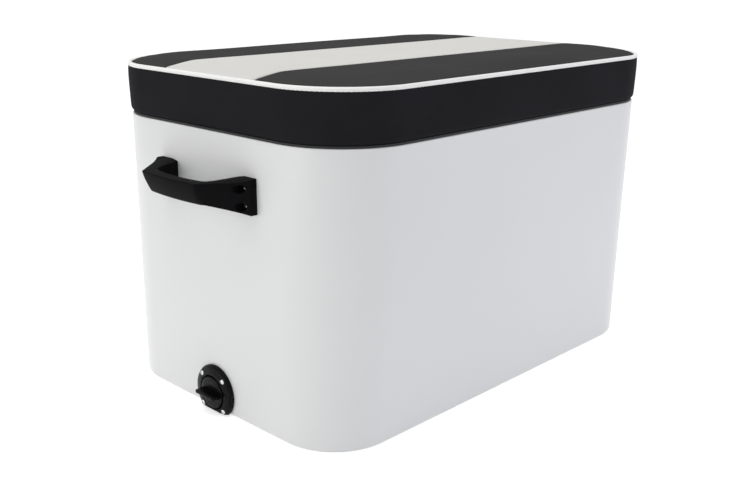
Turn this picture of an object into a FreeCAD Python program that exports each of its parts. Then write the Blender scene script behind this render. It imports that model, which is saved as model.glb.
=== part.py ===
import FreeCAD, Part
import math
import os
import re

import Sketcher

# Fishing seat box: a drafted glass-fibre box with a hinged, upholstered lid.
# Length runs along X, width along Y and height along Z. The origin is the middle of the
# floor face. The end with the drain and one handle faces -X, the hinges are on +Y.
doc = FreeCAD.newDocument("SeatBox")
Vec = FreeCAD.Vector
UP = Vec(0, 0, 1)
ALONG = Vec(1, 0, 0)
ACROSS = Vec(0, 1, 0)

SIZES = {
    # overall
    "overall_length": 550,
    "overall_width": 380,
    "seam_height": 352,
    # cushion
    "crown_rise": 7.5,
    "crown_setback": 1,
    "seat_corner": 86,
    "band_height": 50,
    "band_tuck": 1.5,
    "band_roll": 5,
    "seam_inset": 1.5,
    "stripe_width": 140,
    "piping_diameter": 5,
    "piping_proud": 1.5,
    "cover_thickness": 1.2,
    "cover_return": 31,
    "board_thickness": 12,
    "soft_gap": 0.3,
    "staple_crown": 10,
    "staple_leg": 8,
    "staple_wire": 0.7,
    "staple_width": 1.2,
    "staple_inset": 30,
    "staple_pitch": 48,
    # lining sheet under the lid
    "liner_thickness": 2,
    "liner_inset": 33.5,
    "liner_screw_inset": 8,
    "liner_screw_length": 12,
    "liner_head_height": 1.6,
    # box
    "lid_gap": 2.5,
    "lid_overhang": 2.5,
    "end_draft": 1.5,
    "side_draft": 10.5,
    "foot_corner": 68,
    "foot_edge": 5,
    "floor_cove": 5,
    "wall_thickness": 5,
    "floor_thickness": 5,
    "flange_width": 28,
    "flange_thickness": 5,
    # rim seal
    "seal_width": 8,
    "seal_thickness": 2.2,
    "seal_setback": 1.5,
    "seal_break": 1,
    # hinges
    "hinge_inset": 125,
    "hinge_length": 60,
    "hinge_leaf": 1,
    "hinge_depth": 19.5,
    "knuckle_radius": 3,
    "knuckle_standoff": 1,
    "knuckle_gap": 0.3,
    "hinge_pin_radius": 1.5,
    "pin_head_radius": 2.3,
    "pin_head_height": 1,
    "pin_end_gap": 0.2,
    "hinge_screw_pitch": 22,
    "hinge_screw_setback": 14,
    "hinge_screw_radius": 1.5,
    "hinge_sink": 0.9,
    "hinge_bolt_length": 12,
    "hinge_wood_screw_length": 11,
    "hinge_nut_flats": 5.5,
    "hinge_nut_height": 2.4,
    # end handles
    "handle_drop": 54,
    "handle_length": 151,
    "foot_span": 35,
    "grip_span": 22,
    "grip_rise": 3.5,
    "handle_reach": 48.4,
    "handle_reach_middle": 43.5,
    "handle_reach_low": 32.5,
    "kink_spread": 85.6,
    "kink_spread_middle": 84,
    "kink_spread_low": 81,
    "grip_bow": 3,
    "foot_end_depth": 8,
    "foot_flat": 17,
    "hand_gap": 100,
    "hand_gap_deep": 84,
    "grip_thickness": 13.5,
    "arch_corner": 11,
    "handle_screw_inset": 7,
    "handle_screw_pitch": 17.5,
    "handle_screw_radius": 2,
    "handle_screw_seat": 6,
    "handle_counterbore": 4.4,
    "handle_screw_length": 18,
    "handle_head_radius": 4,
    "handle_head_height": 2.6,
    "washer_radius": 6,
    "washer_thickness": 1,
    "handle_nut_flats": 7,
    "handle_nut_height": 3.2,
    # drain
    "drain_height": 22,
    "drain_radius": 29.3,
    "drain_flat": 20,
    "drain_edge": 2.2,
    "drain_dome": 6,
    "drain_shoulder": 4.6,
    "drain_bevel": 2,
    "drain_gasket_thickness": 1,
    "gasket_setback": 0.5,
    "drain_barrel": 12.5,
    "drain_bore": 10,
    "drain_barrel_length": 22,
    "drain_recess": 18.8,
    "drain_recess_depth": 4.8,
    "drain_pad_depth": 8,
    "drain_pad_root": 3,
    "drain_pad_width": 56,
    "drain_pad_height": 44,
    "drain_screw_spread": 33.5,
    "drain_screw_radius": 1.8,
    "drain_screw_length": 14,
    "drain_head_radius": 3.4,
    "drain_head_height": 2,
    "plug_cap": 17.6,
    "plug_cap_height": 3.2,
    "plug_shank_length": 18,
    "plug_chamfer": 1.2,
    "plug_wing_length": 33,
    "plug_wing_tip": 29,
    "plug_wing_height": 7.5,
    "plug_wing_thickness": 3.4,
    "wing_root": 0.5,
    "wing_chamfer": 1.5,
    "plug_seal_wire": 1.1,
    # screws in general
    "screw_chamfer": 0.9,
    "thread_chamfer": 0.5,
    "wood_screw_tip": 2.5,
    "screw_tip_radius": 0.2,
    # fits
    "hole_clearance": 0.15,
    "running_fit": 0.04,
    "thread_fit": 0.05,
    "trim_clearance": 0.1,
    "seal_gap": 0.05,
    # how far a cut runs past the material it goes through
    "overcut": 5,
}

sheet = doc.addObject("Spreadsheet::Sheet", "Sizes")
for row, (name, value) in enumerate(SIZES.items(), start=1):
    sheet.set("A%d" % row, name)
    sheet.set("B%d" % row, str(value))
    sheet.setAlias("B%d" % row, name)
doc.recompute()


def size(formula):
    """The value of a formula of the sheet's names."""
    return float(sheet.evalExpression(formula))


def tie(piece, prop, formula):
    """Bind a property of an object to a formula of the sheet's names."""
    def named(word):
        return "Sizes." + word.group() if word.group() in SIZES else word.group()

    piece.setExpression(prop, re.sub(r"[a-z_]+", named, formula))


# Levels and outlines that more than one piece shares.
LID_UNDERSIDE = "(seam_height - band_height)"
RIM_TOP = "(seam_height - band_height - lid_gap)"
RIM_LENGTH = "(overall_length - 2 * lid_overhang)"
RIM_WIDTH = "(overall_width - 2 * lid_overhang)"
RIM_CORNER = "(seat_corner - lid_overhang)"
FOOT_LENGTH = "(overall_length - 2 * lid_overhang - 2 * end_draft)"
BOARD_TOP = "(seam_height - band_height + cover_thickness + soft_gap + board_thickness)"
AXIS_Y = "(overall_width / 2 - lid_overhang + knuckle_standoff + knuckle_radius)"
AXIS_Z = "(seam_height - band_height - lid_gap / 2)"
HINGE_SPREAD = "(overall_length - 2 * hinge_inset)"
HANDLE_HEIGHT = "(%s - handle_drop)" % RIM_TOP
WALL_LEAN = math.degrees(math.atan2(size("end_draft"), size(RIM_TOP)))


# Sketches and bodies.
def plane(body, role):
    return [part for part in body.Origin.OriginFeatures if part.Role == role][0]


def new_sketch(body, name, role="XY_Plane", offset="0"):
    sketch = body.newObject("Sketcher::SketchObject", name)
    sketch.AttachmentSupport = [(plane(body, role), "")]
    sketch.MapMode = "FlatFace"
    tie(sketch, "AttachmentOffset.Base.z", offset)
    return sketch


def place_point(sketch, edge, end, across, up):
    """Hold one end of a sketch edge at two formulas from the sketch's origin."""
    for kind, formula in (("DistanceX", across), ("DistanceY", up)):
        held = sketch.addConstraint(Sketcher.Constraint(kind, -1, 1, edge, end, size(formula)))
        tie(sketch, "Constraints[%d]" % held, formula)


def draw_polygon(sketch, corners):
    """A closed polygon whose corners are pairs of formulas."""
    points = [Vec(size(across), size(up), 0) for across, up in corners]
    count = len(points)
    first = sketch.GeometryCount
    for index in range(count):
        sketch.addGeometry(Part.LineSegment(points[index], points[(index + 1) % count]))
    for index in range(count):
        after = first + (index + 1) % count
        sketch.addConstraint(Sketcher.Constraint("Coincident", first + index, 2, after, 1))
        place_point(sketch, first + index, 1, corners[index][0], corners[index][1])


def draw_circle(sketch, across, up, radius):
    centre = Vec(size(across), size(up), 0)
    circle = sketch.addGeometry(Part.Circle(centre, UP, size(radius)))
    held = sketch.addConstraint(Sketcher.Constraint("Radius", circle, size(radius)))
    tie(sketch, "Constraints[%d]" % held, radius)
    place_point(sketch, circle, 3, across, up)


def corner_centres(half_x, half_y, corner):
    """The corner centres of a rounded rectangle, with the angle at which each arc starts."""
    x, y = half_x - corner, half_y - corner
    return [(x, -y, 270), (x, y, 0), (-x, y, 90), (-x, -y, 180)]


def draw_rounded(sketch, length, width, corner):
    """A rectangle about the sketch's origin with rounded corners."""
    half_x, half_y, radius = size(length) / 2, size(width) / 2, size(corner)
    inner_x, inner_y = half_x - radius, half_y - radius
    sides = [
        (Vec(-inner_x, -half_y, 0), Vec(inner_x, -half_y, 0)),
        (Vec(half_x, -inner_y, 0), Vec(half_x, inner_y, 0)),
        (Vec(inner_x, half_y, 0), Vec(-inner_x, half_y, 0)),
        (Vec(-half_x, inner_y, 0), Vec(-half_x, -inner_y, 0)),
    ]
    for (start, end), (x, y, turn) in zip(sides, corner_centres(half_x, half_y, radius)):
        sketch.addGeometry(Part.LineSegment(start, end))
        circle = Part.Circle(Vec(x, y, 0), UP, radius)
        sketch.addGeometry(Part.ArcOfCircle(circle, math.radians(turn), math.radians(turn + 90)))
    for side in range(4):
        line, arc, next_line = 2 * side, 2 * side + 1, (2 * side + 2) % 8
        sketch.addConstraint(Sketcher.Constraint("Tangent", line, 2, arc, 1))
        sketch.addConstraint(Sketcher.Constraint("Tangent", arc, 2, next_line, 1))
        held = sketch.addConstraint(Sketcher.Constraint("Radius", arc, radius))
        tie(sketch, "Constraints[%d]" % held, corner)
    place_point(sketch, 0, 1, "%s - (%s) / 2" % (corner, length), "-(%s) / 2" % width)
    place_point(sketch, 4, 1, "(%s) / 2 - %s" % (length, corner), "(%s) / 2" % width)


def new_body(label):
    body = doc.addObject("PartDesign::Body", label)
    body.Label = label
    return body


def pad(body, sketch, length, reverse=False):
    made = body.newObject("PartDesign::Pad", sketch.Name + "_pad")
    made.Profile = sketch
    made.Reversed = reverse
    tie(made, "Length", length)
    return made


def pocket(body, sketch, length, reverse=False):
    made = body.newObject("PartDesign::Pocket", sketch.Name + "_pocket")
    made.Profile = sketch
    made.Reversed = reverse
    tie(made, "Length", length)
    return made


def revolve(body, sketch, axis="V_Axis"):
    made = body.newObject("PartDesign::Revolution", sketch.Name + "_turned")
    made.Profile = sketch
    made.ReferenceAxis = (sketch, [axis])
    made.Angle = 360
    return made


def bore(body, name, radius, length, place, direction):
    """A round hole that starts at a point and runs in a direction."""
    cut = body.newObject("PartDesign::SubtractiveCylinder", name)
    tie(cut, "Radius", radius)
    tie(cut, "Height", length)
    cut.Placement = FreeCAD.Placement(place, FreeCAD.Rotation(UP, direction))
    return cut


def turned_body(label, profile):
    """A body turned about Z from a closed profile of radius and height formulas."""
    body = new_body(label)
    sketch = new_sketch(body, label + "_profile", "XZ_Plane")
    draw_polygon(sketch, profile)
    revolve(body, sketch)
    return body


def plain_feature(label, shape):
    piece = doc.addObject("Part::Feature", label)
    piece.Label = label
    piece.Shape = shape
    piece.Placement = FreeCAD.Placement()
    return piece


def copies(label, master, places):
    """Identical loose pieces in one node, each a copy of the master at its own place."""
    doc.recompute()
    shape = master.Shape.copy()
    shape.Placement = FreeCAD.Placement()
    return plain_feature(label, Part.makeCompound([shape.transformed(place.toMatrix()) for place in places]))


# Places on the end walls, which lean out by the draft as they rise.
def end_wall_x(height):
    return size(FOOT_LENGTH) / 2 + size("end_draft") * height / size(RIM_TOP)


def end_wall_place(side, across, height):
    """Local X points out of the end wall, local Z up along it. Side is -1 or 1."""
    half_turn = FreeCAD.Rotation(UP, 180 if side < 0 else 0)
    lean = FreeCAD.Rotation(ACROSS, side * WALL_LEAN)
    base = Vec(side * end_wall_x(height), across, height)
    return FreeCAD.Placement(base, lean * half_turn)


def on_wall(wall, out, across, up):
    """A point given in a wall's own directions."""
    return wall.multVec(Vec(out, across, up))


def wall_normal(wall):
    return wall.Rotation.multVec(ALONG)


LEFT_WALL = end_wall_place(-1, 0, size(HANDLE_HEIGHT))
RIGHT_WALL = end_wall_place(1, 0, size(HANDLE_HEIGHT))
DRAIN_WALL = end_wall_place(-1, 0, size("drain_height"))


def handle_screw_points():
    """The four screw places of a handle, across and up from its middle."""
    half_spread, half_pitch = size("handle_length / 2 - handle_screw_inset"), size("handle_screw_pitch / 2")
    return [(across, up) for across in (-half_spread, half_spread) for up in (-half_pitch, half_pitch)]


def drain_screw_points():
    half = size("drain_screw_spread / 2")
    return [(across, up) for across in (-half, half) for up in (-half, half)]


def hinge_screw_points():
    """Three screws in each hinge, as X and Y from the middle of the box."""
    y = size(AXIS_Y + " - hinge_screw_setback")
    middle, pitch = size(HINGE_SPREAD + " / 2"), size("hinge_screw_pitch")
    return [(side * middle + step * pitch, y) for side in (-1, 1) for step in (-1, 0, 1)]


# Box shell: one glass-fibre moulding. Its long walls lean out more than its ends, and its
# corners grow rounder towards the rim, which turns inward as a flange.
def shell_outline(body, name, level, inset):
    """The box's plan at a height, drawn in by an inset all round."""
    drop = "(1 - %s / %s)" % (level, RIM_TOP)
    length = "(%s - 2 * end_draft * %s - 2 * %s)" % (RIM_LENGTH, drop, inset)
    width = "(%s - 2 * side_draft * %s - 2 * %s)" % (RIM_WIDTH, drop, inset)
    corner = "(%s - (%s - foot_corner) * %s - %s)" % (RIM_CORNER, RIM_CORNER, drop, inset)
    sketch = new_sketch(body, name, offset=level)
    draw_rounded(sketch, length, width, corner)
    return sketch


def shell_loft(body, kind, name, floor, rounding, inset, top, step):
    """A tub with a rounded lower edge: outlines up the rounding and one at the top."""
    sections = []
    for turn in range(0, 91, step):
        level = "(%s + %s * (1 - cos(%d deg)))" % (floor, rounding, turn)
        drawn_in = "(%s + %s * (1 - sin(%d deg)))" % (inset, rounding, turn)
        sections.append(shell_outline(body, "%s_%d" % (name, turn), level, drawn_in))
    sections.append(shell_outline(body, name + "_top", top, inset))
    made = body.newObject("PartDesign::" + kind, name)
    made.Profile = sections[0]
    made.Sections = sections[1:]
    made.Ruled = True


def round_tool(name, radius, length, start, direction):
    """A round cutter that starts at a point and runs in a direction."""
    tool = doc.addObject("Part::Cylinder", name)
    tie(tool, "Radius", radius)
    tie(tool, "Height", length)
    tool.Placement = FreeCAD.Placement(start, FreeCAD.Rotation(UP, direction))
    return tool


def make_box_shell():
    body = new_body("shell_moulding")
    shell_loft(body, "AdditiveLoft", "shell_outside", "0", "foot_edge", "0", RIM_TOP, 15)
    ceiling = "(%s - flange_thickness)" % RIM_TOP
    cove, wall = "floor_cove", "wall_thickness"
    shell_loft(body, "SubtractiveLoft", "shell_inside", "floor_thickness", cove, wall, ceiling, 30)
    mouth = new_sketch(body, "shell_mouth", offset=RIM_TOP)
    lip_length = "(%s - 2 * flange_width)" % RIM_LENGTH
    lip_width = "(%s - 2 * flange_width)" % RIM_WIDTH
    draw_rounded(mouth, lip_length, lip_width, "(%s - flange_width)" % RIM_CORNER)
    pocket(body, mouth, "flange_thickness + overcut")

    # A thicker pad inside the end wall takes the drain's screws and barrel.
    block = body.newObject("PartDesign::AdditiveBox", "drain_pad")
    tie(block, "Length", "drain_pad_depth + wall_thickness - drain_pad_root")
    tie(block, "Width", "drain_pad_width")
    tie(block, "Height", "drain_pad_height")
    tie(block, "Placement.Base.x", "-(%s) / 2 + drain_pad_root" % FOOT_LENGTH)
    tie(block, "Placement.Base.y", "-drain_pad_width / 2")
    tie(block, "Placement.Base.z", "floor_thickness")

    # The holes are drilled together, after the moulding.
    overcut = size("overcut")
    inward = wall_normal(DRAIN_WALL) * -1
    start = on_wall(DRAIN_WALL, overcut, 0, 0)
    radius, through = "drain_barrel + hole_clearance", "drain_barrel_length + 2 * overcut"
    tools = [round_tool("drain_hole", radius, through, start, inward)]
    radius, depth = "drain_screw_radius + hole_clearance", "drain_screw_length + overcut"
    for index, (across, up) in enumerate(drain_screw_points()):
        start = on_wall(DRAIN_WALL, overcut, across, up)
        tools.append(round_tool("drain_screw_hole%d" % index, radius, depth, start, inward))
    radius, through = "handle_screw_radius + hole_clearance", "wall_thickness + 2 * overcut"
    for side, wall in (("left", LEFT_WALL), ("right", RIGHT_WALL)):
        for index, (across, up) in enumerate(handle_screw_points()):
            start = on_wall(wall, overcut, across, up)
            name = "handle_hole_%s%d" % (side, index)
            tools.append(round_tool(name, radius, through, start, wall_normal(wall) * -1))
    radius, through = "hinge_screw_radius + hole_clearance", "flange_thickness + 2 * overcut"
    for index, (x, y) in enumerate(hinge_screw_points()):
        start = Vec(x, y, size(RIM_TOP) + overcut)
        tools.append(round_tool("hinge_hole%d" % index, radius, through, start, UP * -1))
    drills = doc.addObject("Part::Compound", "shell_drills")
    drills.Links = tools
    shell = doc.addObject("Part::Cut", "box_shell")
    shell.Label = "box_shell"
    shell.Base = body
    shell.Tool = drills


# Rim seal: a rubber strip glued round the rim's edge, and a short one between the hinges.
def make_rim_seals():
    body = new_body("rim_seal_main")
    sketches = []
    for name, level, inset in (
        ("seal_outer", RIM_TOP, "seal_setback"),
        ("seal_inner", "(%s + seal_thickness)" % RIM_TOP, "(seal_setback + seal_width)"),
    ):
        sketch = new_sketch(body, name, offset=level)
        length, width = "(%s - 2 * %s)" % (RIM_LENGTH, inset), "(%s - 2 * %s)" % (RIM_WIDTH, inset)
        draw_rounded(sketch, length, width, "(%s - %s)" % (RIM_CORNER, inset))
        sketches.append(sketch)
    pad(body, sketches[0], "seal_thickness")
    pocket(body, sketches[1], "seal_thickness + overcut")
    gap = body.newObject("PartDesign::SubtractiveBox", "seal_break_at_hinges")
    tie(gap, "Length", "%s + hinge_length + 2 * seal_break" % HINGE_SPREAD)
    tie(gap, "Width", "hinge_depth + 2 * overcut")
    tie(gap, "Height", "seal_thickness + 2 * overcut")
    tie(gap, "Placement.Base.x", "-(%s + hinge_length) / 2 - seal_break" % HINGE_SPREAD)
    tie(gap, "Placement.Base.y", "%s - hinge_depth - overcut" % AXIS_Y)
    tie(gap, "Placement.Base.z", "%s - overcut" % RIM_TOP)

    rear = new_body("rim_seal_rear")
    sketch = new_sketch(rear, "seal_rear", offset=RIM_TOP)
    end = "((%s - hinge_length) / 2 - seal_break)" % HINGE_SPREAD
    far = "(%s / 2 - seal_setback)" % RIM_WIDTH
    near = "(%s - seal_width)" % far
    draw_polygon(sketch, [("-" + end, near), (end, near), (end, far), ("-" + end, far)])
    pad(rear, sketch, "seal_thickness")


# Flat outlines for the lofted pieces.
def rounded_wire(length, width, corner, z):
    arcs = []
    for x, y, turn in corner_centres(length / 2, width / 2, corner):
        arcs.append(Part.makeCircle(corner, Vec(x, y, z), UP, turn, turn + 90))
    edges = []
    for index, arc in enumerate(arcs):
        before = arcs[index - 1].Vertexes[-1].Point
        edges.append(Part.makeLine(before, arc.Vertexes[0].Point))
        edges.append(arc)
    return Part.Wire(edges)


def plan_wire(inset, z):
    """The cushion's plan drawn in by an inset, with the corner drawn in alike."""
    corner = size("seat_corner") - inset
    return rounded_wire(size("overall_length") - 2 * inset, size("overall_width") - 2 * inset, corner, z)


def crown_wire(inset, z):
    """As plan_wire, but the corner shrinks in step with the width, for the crown."""
    half_width = size("overall_width / 2")
    corner = size("seat_corner") * (half_width - inset) / half_width
    return rounded_wire(size("overall_length") - 2 * inset, size("overall_width") - 2 * inset, corner, z)


def slab(inset, low, high):
    """A flat slab of the cushion's plan between two heights."""
    return Part.Face(plan_wire(inset, low)).extrude(Vec(0, 0, high - low))


def side_form(shrink):
    """The cushion from its underside to the seam: rolled lower edge, slight belly, drawn in at the seam."""
    tuck, roll, seam = size("band_tuck"), size("band_roll"), size("seam_inset")
    bottom, top = size(LID_UNDERSIDE), size("seam_height")
    belly = (bottom + roll + top) / 2
    wires = []
    for turn in (0, 30, 60, 90):
        angle = math.radians(turn)
        inset = tuck + (roll - shrink) * (1 - math.sin(angle)) + shrink
        wires.append(plan_wire(inset, bottom + roll - (roll - shrink) * math.cos(angle)))
    wires.append(plan_wire(shrink, belly))
    wires.append(plan_wire(seam + shrink, top))
    return Part.makeLoft(wires, True, True)


# Crown of the seat: how far in from the edge, and what share of the rise is reached there.
CROWN_SHAPE = [(0, 0), (4, 0.42), (12, 0.70), (32, 0.89), (70, 0.97), (118, 1.0)]


def crown_form(shrink):
    """The domed top, drawn in and lowered all over by the shrink."""
    start, rise, top = size("seam_inset + crown_setback"), size("crown_rise"), size("seam_height")
    wires = []
    for inset, share in CROWN_SHAPE:
        wires.append(crown_wire(start + inset + shrink, top + rise * share - shrink))
    return Part.makeLoft(wires, True, True)


def piping_ring(grow):
    """The welt: a round cord that follows the seam."""
    inset = size("seam_inset + piping_diameter / 2 - piping_proud")
    path = plan_wire(inset, size("seam_height"))
    start = path.Edges[0].Vertexes[0].Point
    radius = size("piping_diameter / 2") + grow
    profile = Part.Wire(Part.makeCircle(radius, start, ALONG))
    return path.makePipeShell([profile], True, False)


def staple_places():
    """Staples at an even pitch on the straight runs of the cover's turned edge."""
    inset, corner = size("staple_inset"), size("seat_corner")
    half_x, half_y = size("overall_length / 2") - inset, size("overall_width / 2") - inset
    run_x, run_y = size("overall_length / 2") - corner, size("overall_width / 2") - corner
    places = []
    for run, reach, turn in ((run_x, half_y, 0), (run_y, half_x, 90)):
        count = int(2 * run // size("staple_pitch"))
        for side in (-1, 1):
            for step in range(count + 1):
                along = -run + step * 2 * run / count
                x, y = (along, side * reach) if turn == 0 else (side * reach, along)
                places.append((x, y, turn))
    hinge_half = size("hinge_length / 2") + size("staple_crown")
    hinge_x = size(HINGE_SPREAD + " / 2")
    clear_of_hinges = []
    for x, y, turn in places:
        beside_hinge = abs(abs(x) - hinge_x) < hinge_half
        if not (turn == 0 and y > 0 and beside_hinge):
            clear_of_hinges.append((x, y, turn))
    return clear_of_hinges


def staple(grow, x, y, turn):
    """One staple: a flat wire bridge with two legs that go up into the board."""
    crown, leg = size("staple_crown"), size("staple_leg")
    wire, width = size("staple_wire"), size("staple_width")
    z = size(LID_UNDERSIDE)
    edge = -width / 2 - grow
    bridge = Part.makeBox(crown + 2 * grow, width + 2 * grow, wire, Vec(-crown / 2 - grow, edge, z - wire))
    legs = []
    for start in (-crown / 2, crown / 2 - wire):
        legs.append(Part.makeBox(wire + 2 * grow, width + 2 * grow, leg + grow, Vec(start - grow, edge, z)))
    shape = bridge.fuse(legs).removeSplitter()
    shape.Placement = FreeCAD.Placement(Vec(x, y, 0), FreeCAD.Rotation(UP, turn))
    return shape


def all_staples(grow):
    return Part.makeCompound([staple(grow, x, y, turn) for x, y, turn in staple_places()])


def liner_screw_points():
    inset = size("liner_inset + liner_screw_inset")
    half_x, half_y = size("overall_length / 2") - inset, size("overall_width / 2") - inset
    run_x, run_y = size("overall_length / 2 - seat_corner"), size("overall_width / 2 - seat_corner")
    ends = [(side * half_x, step * run_y) for side in (-1, 1) for step in (-1, 1)]
    sides = [(step * run_x, side * half_y) for side in (-1, 1) for step in (-1, 0, 1)]
    return ends + sides


def screw_room(points, radius, low, high):
    """Upright round holes at a list of points."""
    return [Part.makeCylinder(radius, high - low, Vec(x, y, low)) for x, y in points]


def lid_screw_holes():
    """Holes for the hinge screws and the liner screws in the lid's layers."""
    low = size(LID_UNDERSIDE + " - overcut")
    clear = size("hole_clearance")
    radius = size("hinge_screw_radius") + clear
    high = size(LID_UNDERSIDE + " - hinge_leaf + hinge_wood_screw_length") + clear
    holes = screw_room(hinge_screw_points(), radius, low, high)
    high = size(LID_UNDERSIDE + " - liner_thickness + liner_screw_length") + clear
    holes += screw_room(liner_screw_points(), radius, low, high)
    return holes


# Upholstered lid, from the board up.
def make_lid():
    skin, gap, overcut = size("cover_thickness"), size("soft_gap"), size("overcut")
    bottom, seam = size(LID_UNDERSIDE), size("seam_height")
    board_top = size(BOARD_TOP)
    outside, lining = side_form(0), side_form(skin)
    core = side_form(skin + gap)
    holes = lid_screw_holes()
    staples = all_staples(size("trim_clearance"))
    ring = piping_ring(0)
    room = piping_ring(size("trim_clearance"))

    board = core.common(slab(0, bottom, board_top)).cut(holes + [staples])
    plain_feature("lid_board", board)

    above_board = slab(-overcut, board_top + gap, seam)
    foam = core.common(above_board).fuse(crown_form(skin + gap)).cut(room)
    plain_feature("cushion_foam", foam)

    turned_in = size("band_tuck + band_roll + cover_return")
    bare_middle = slab(turned_in, bottom - overcut, bottom + 2 * skin)
    band = outside.cut([lining, bare_middle, room, staples] + holes)
    plain_feature("side_band", band)
    plain_feature("top_piping", ring)

    sheet_over = crown_form(0).cut([crown_form(skin), room])
    half_stripe, half_width = size("stripe_width / 2"), size("overall_width / 2")
    length, depth = size("overall_length"), size("crown_rise") + 2 * overcut
    strips = {
        "top_panel_front": (-half_width, -half_stripe - gap / 2),
        "top_panel_centre": (-half_stripe + gap / 2, half_stripe - gap / 2),
        "top_panel_rear": (half_stripe + gap / 2, half_width),
    }
    for label, (near, far) in strips.items():
        strip = Part.makeBox(length, far - near, depth, Vec(-length / 2, near, seam - overcut))
        plain_feature(label, sheet_over.common(strip))
    plain_feature("cover_staples", all_staples(0))


# Screws about Z: the head's underside is at Z = 0 and the shank runs down.
def pan_screw(label, head, head_height, shank, length, tip_length, tip_radius):
    head_edge = "(%s - screw_chamfer)" % head
    return turned_body(label, [
        ("0", head_height),
        (head_edge, head_height),
        (head, "%s - screw_chamfer" % head_height),
        (head, "0"),
        (shank, "0"),
        (shank, "%s - %s" % (tip_length, length)),
        (tip_radius, "-" + length),
        ("0", "-" + length),
    ])


def sunk_screw(label, head, sink, shank, length, tip_length, tip_radius):
    """A countersunk screw whose flat top is at Z = 0."""
    return turned_body(label, [
        ("0", "0"),
        (head, "0"),
        (shank, "-" + sink),
        (shank, "%s - %s" % (tip_length, length)),
        (tip_radius, "-" + length),
        ("0", "-" + length),
    ])


def upside_down(points, level):
    """Places whose Z points down."""
    return [FreeCAD.Placement(Vec(x, y, level), FreeCAD.Rotation(UP, UP * -1)) for x, y in points]


def upright(points, level):
    return [FreeCAD.Placement(Vec(x, y, level), FreeCAD.Rotation()) for x, y in points]


# Lining sheet that hides the cover's turned edge, and its screws.
def make_liner():
    body = new_body("lid_liner")
    sketch = new_sketch(body, "liner_outline", offset=LID_UNDERSIDE)
    length = "(overall_length - 2 * liner_inset)"
    width = "(overall_width - 2 * liner_inset)"
    draw_rounded(sketch, length, width, "(seat_corner - liner_inset)")
    pad(body, sketch, "liner_thickness", reverse=True)
    for index, (x, y) in enumerate(liner_screw_points()):
        start = Vec(x, y, size(LID_UNDERSIDE + " + overcut"))
        through = "liner_thickness + 2 * overcut"
        bore(body, "liner_hole%d" % index, "hinge_screw_radius + hole_clearance", through, start, UP * -1)
    screw = pan_screw(
        "liner_screw_master", "(2 * hinge_screw_radius)", "liner_head_height",
        "hinge_screw_radius", "liner_screw_length", "wood_screw_tip", "screw_tip_radius",
    )
    level = size(LID_UNDERSIDE + " - liner_thickness")
    copies("liner_screws", screw, upside_down(liner_screw_points(), level))


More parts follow.
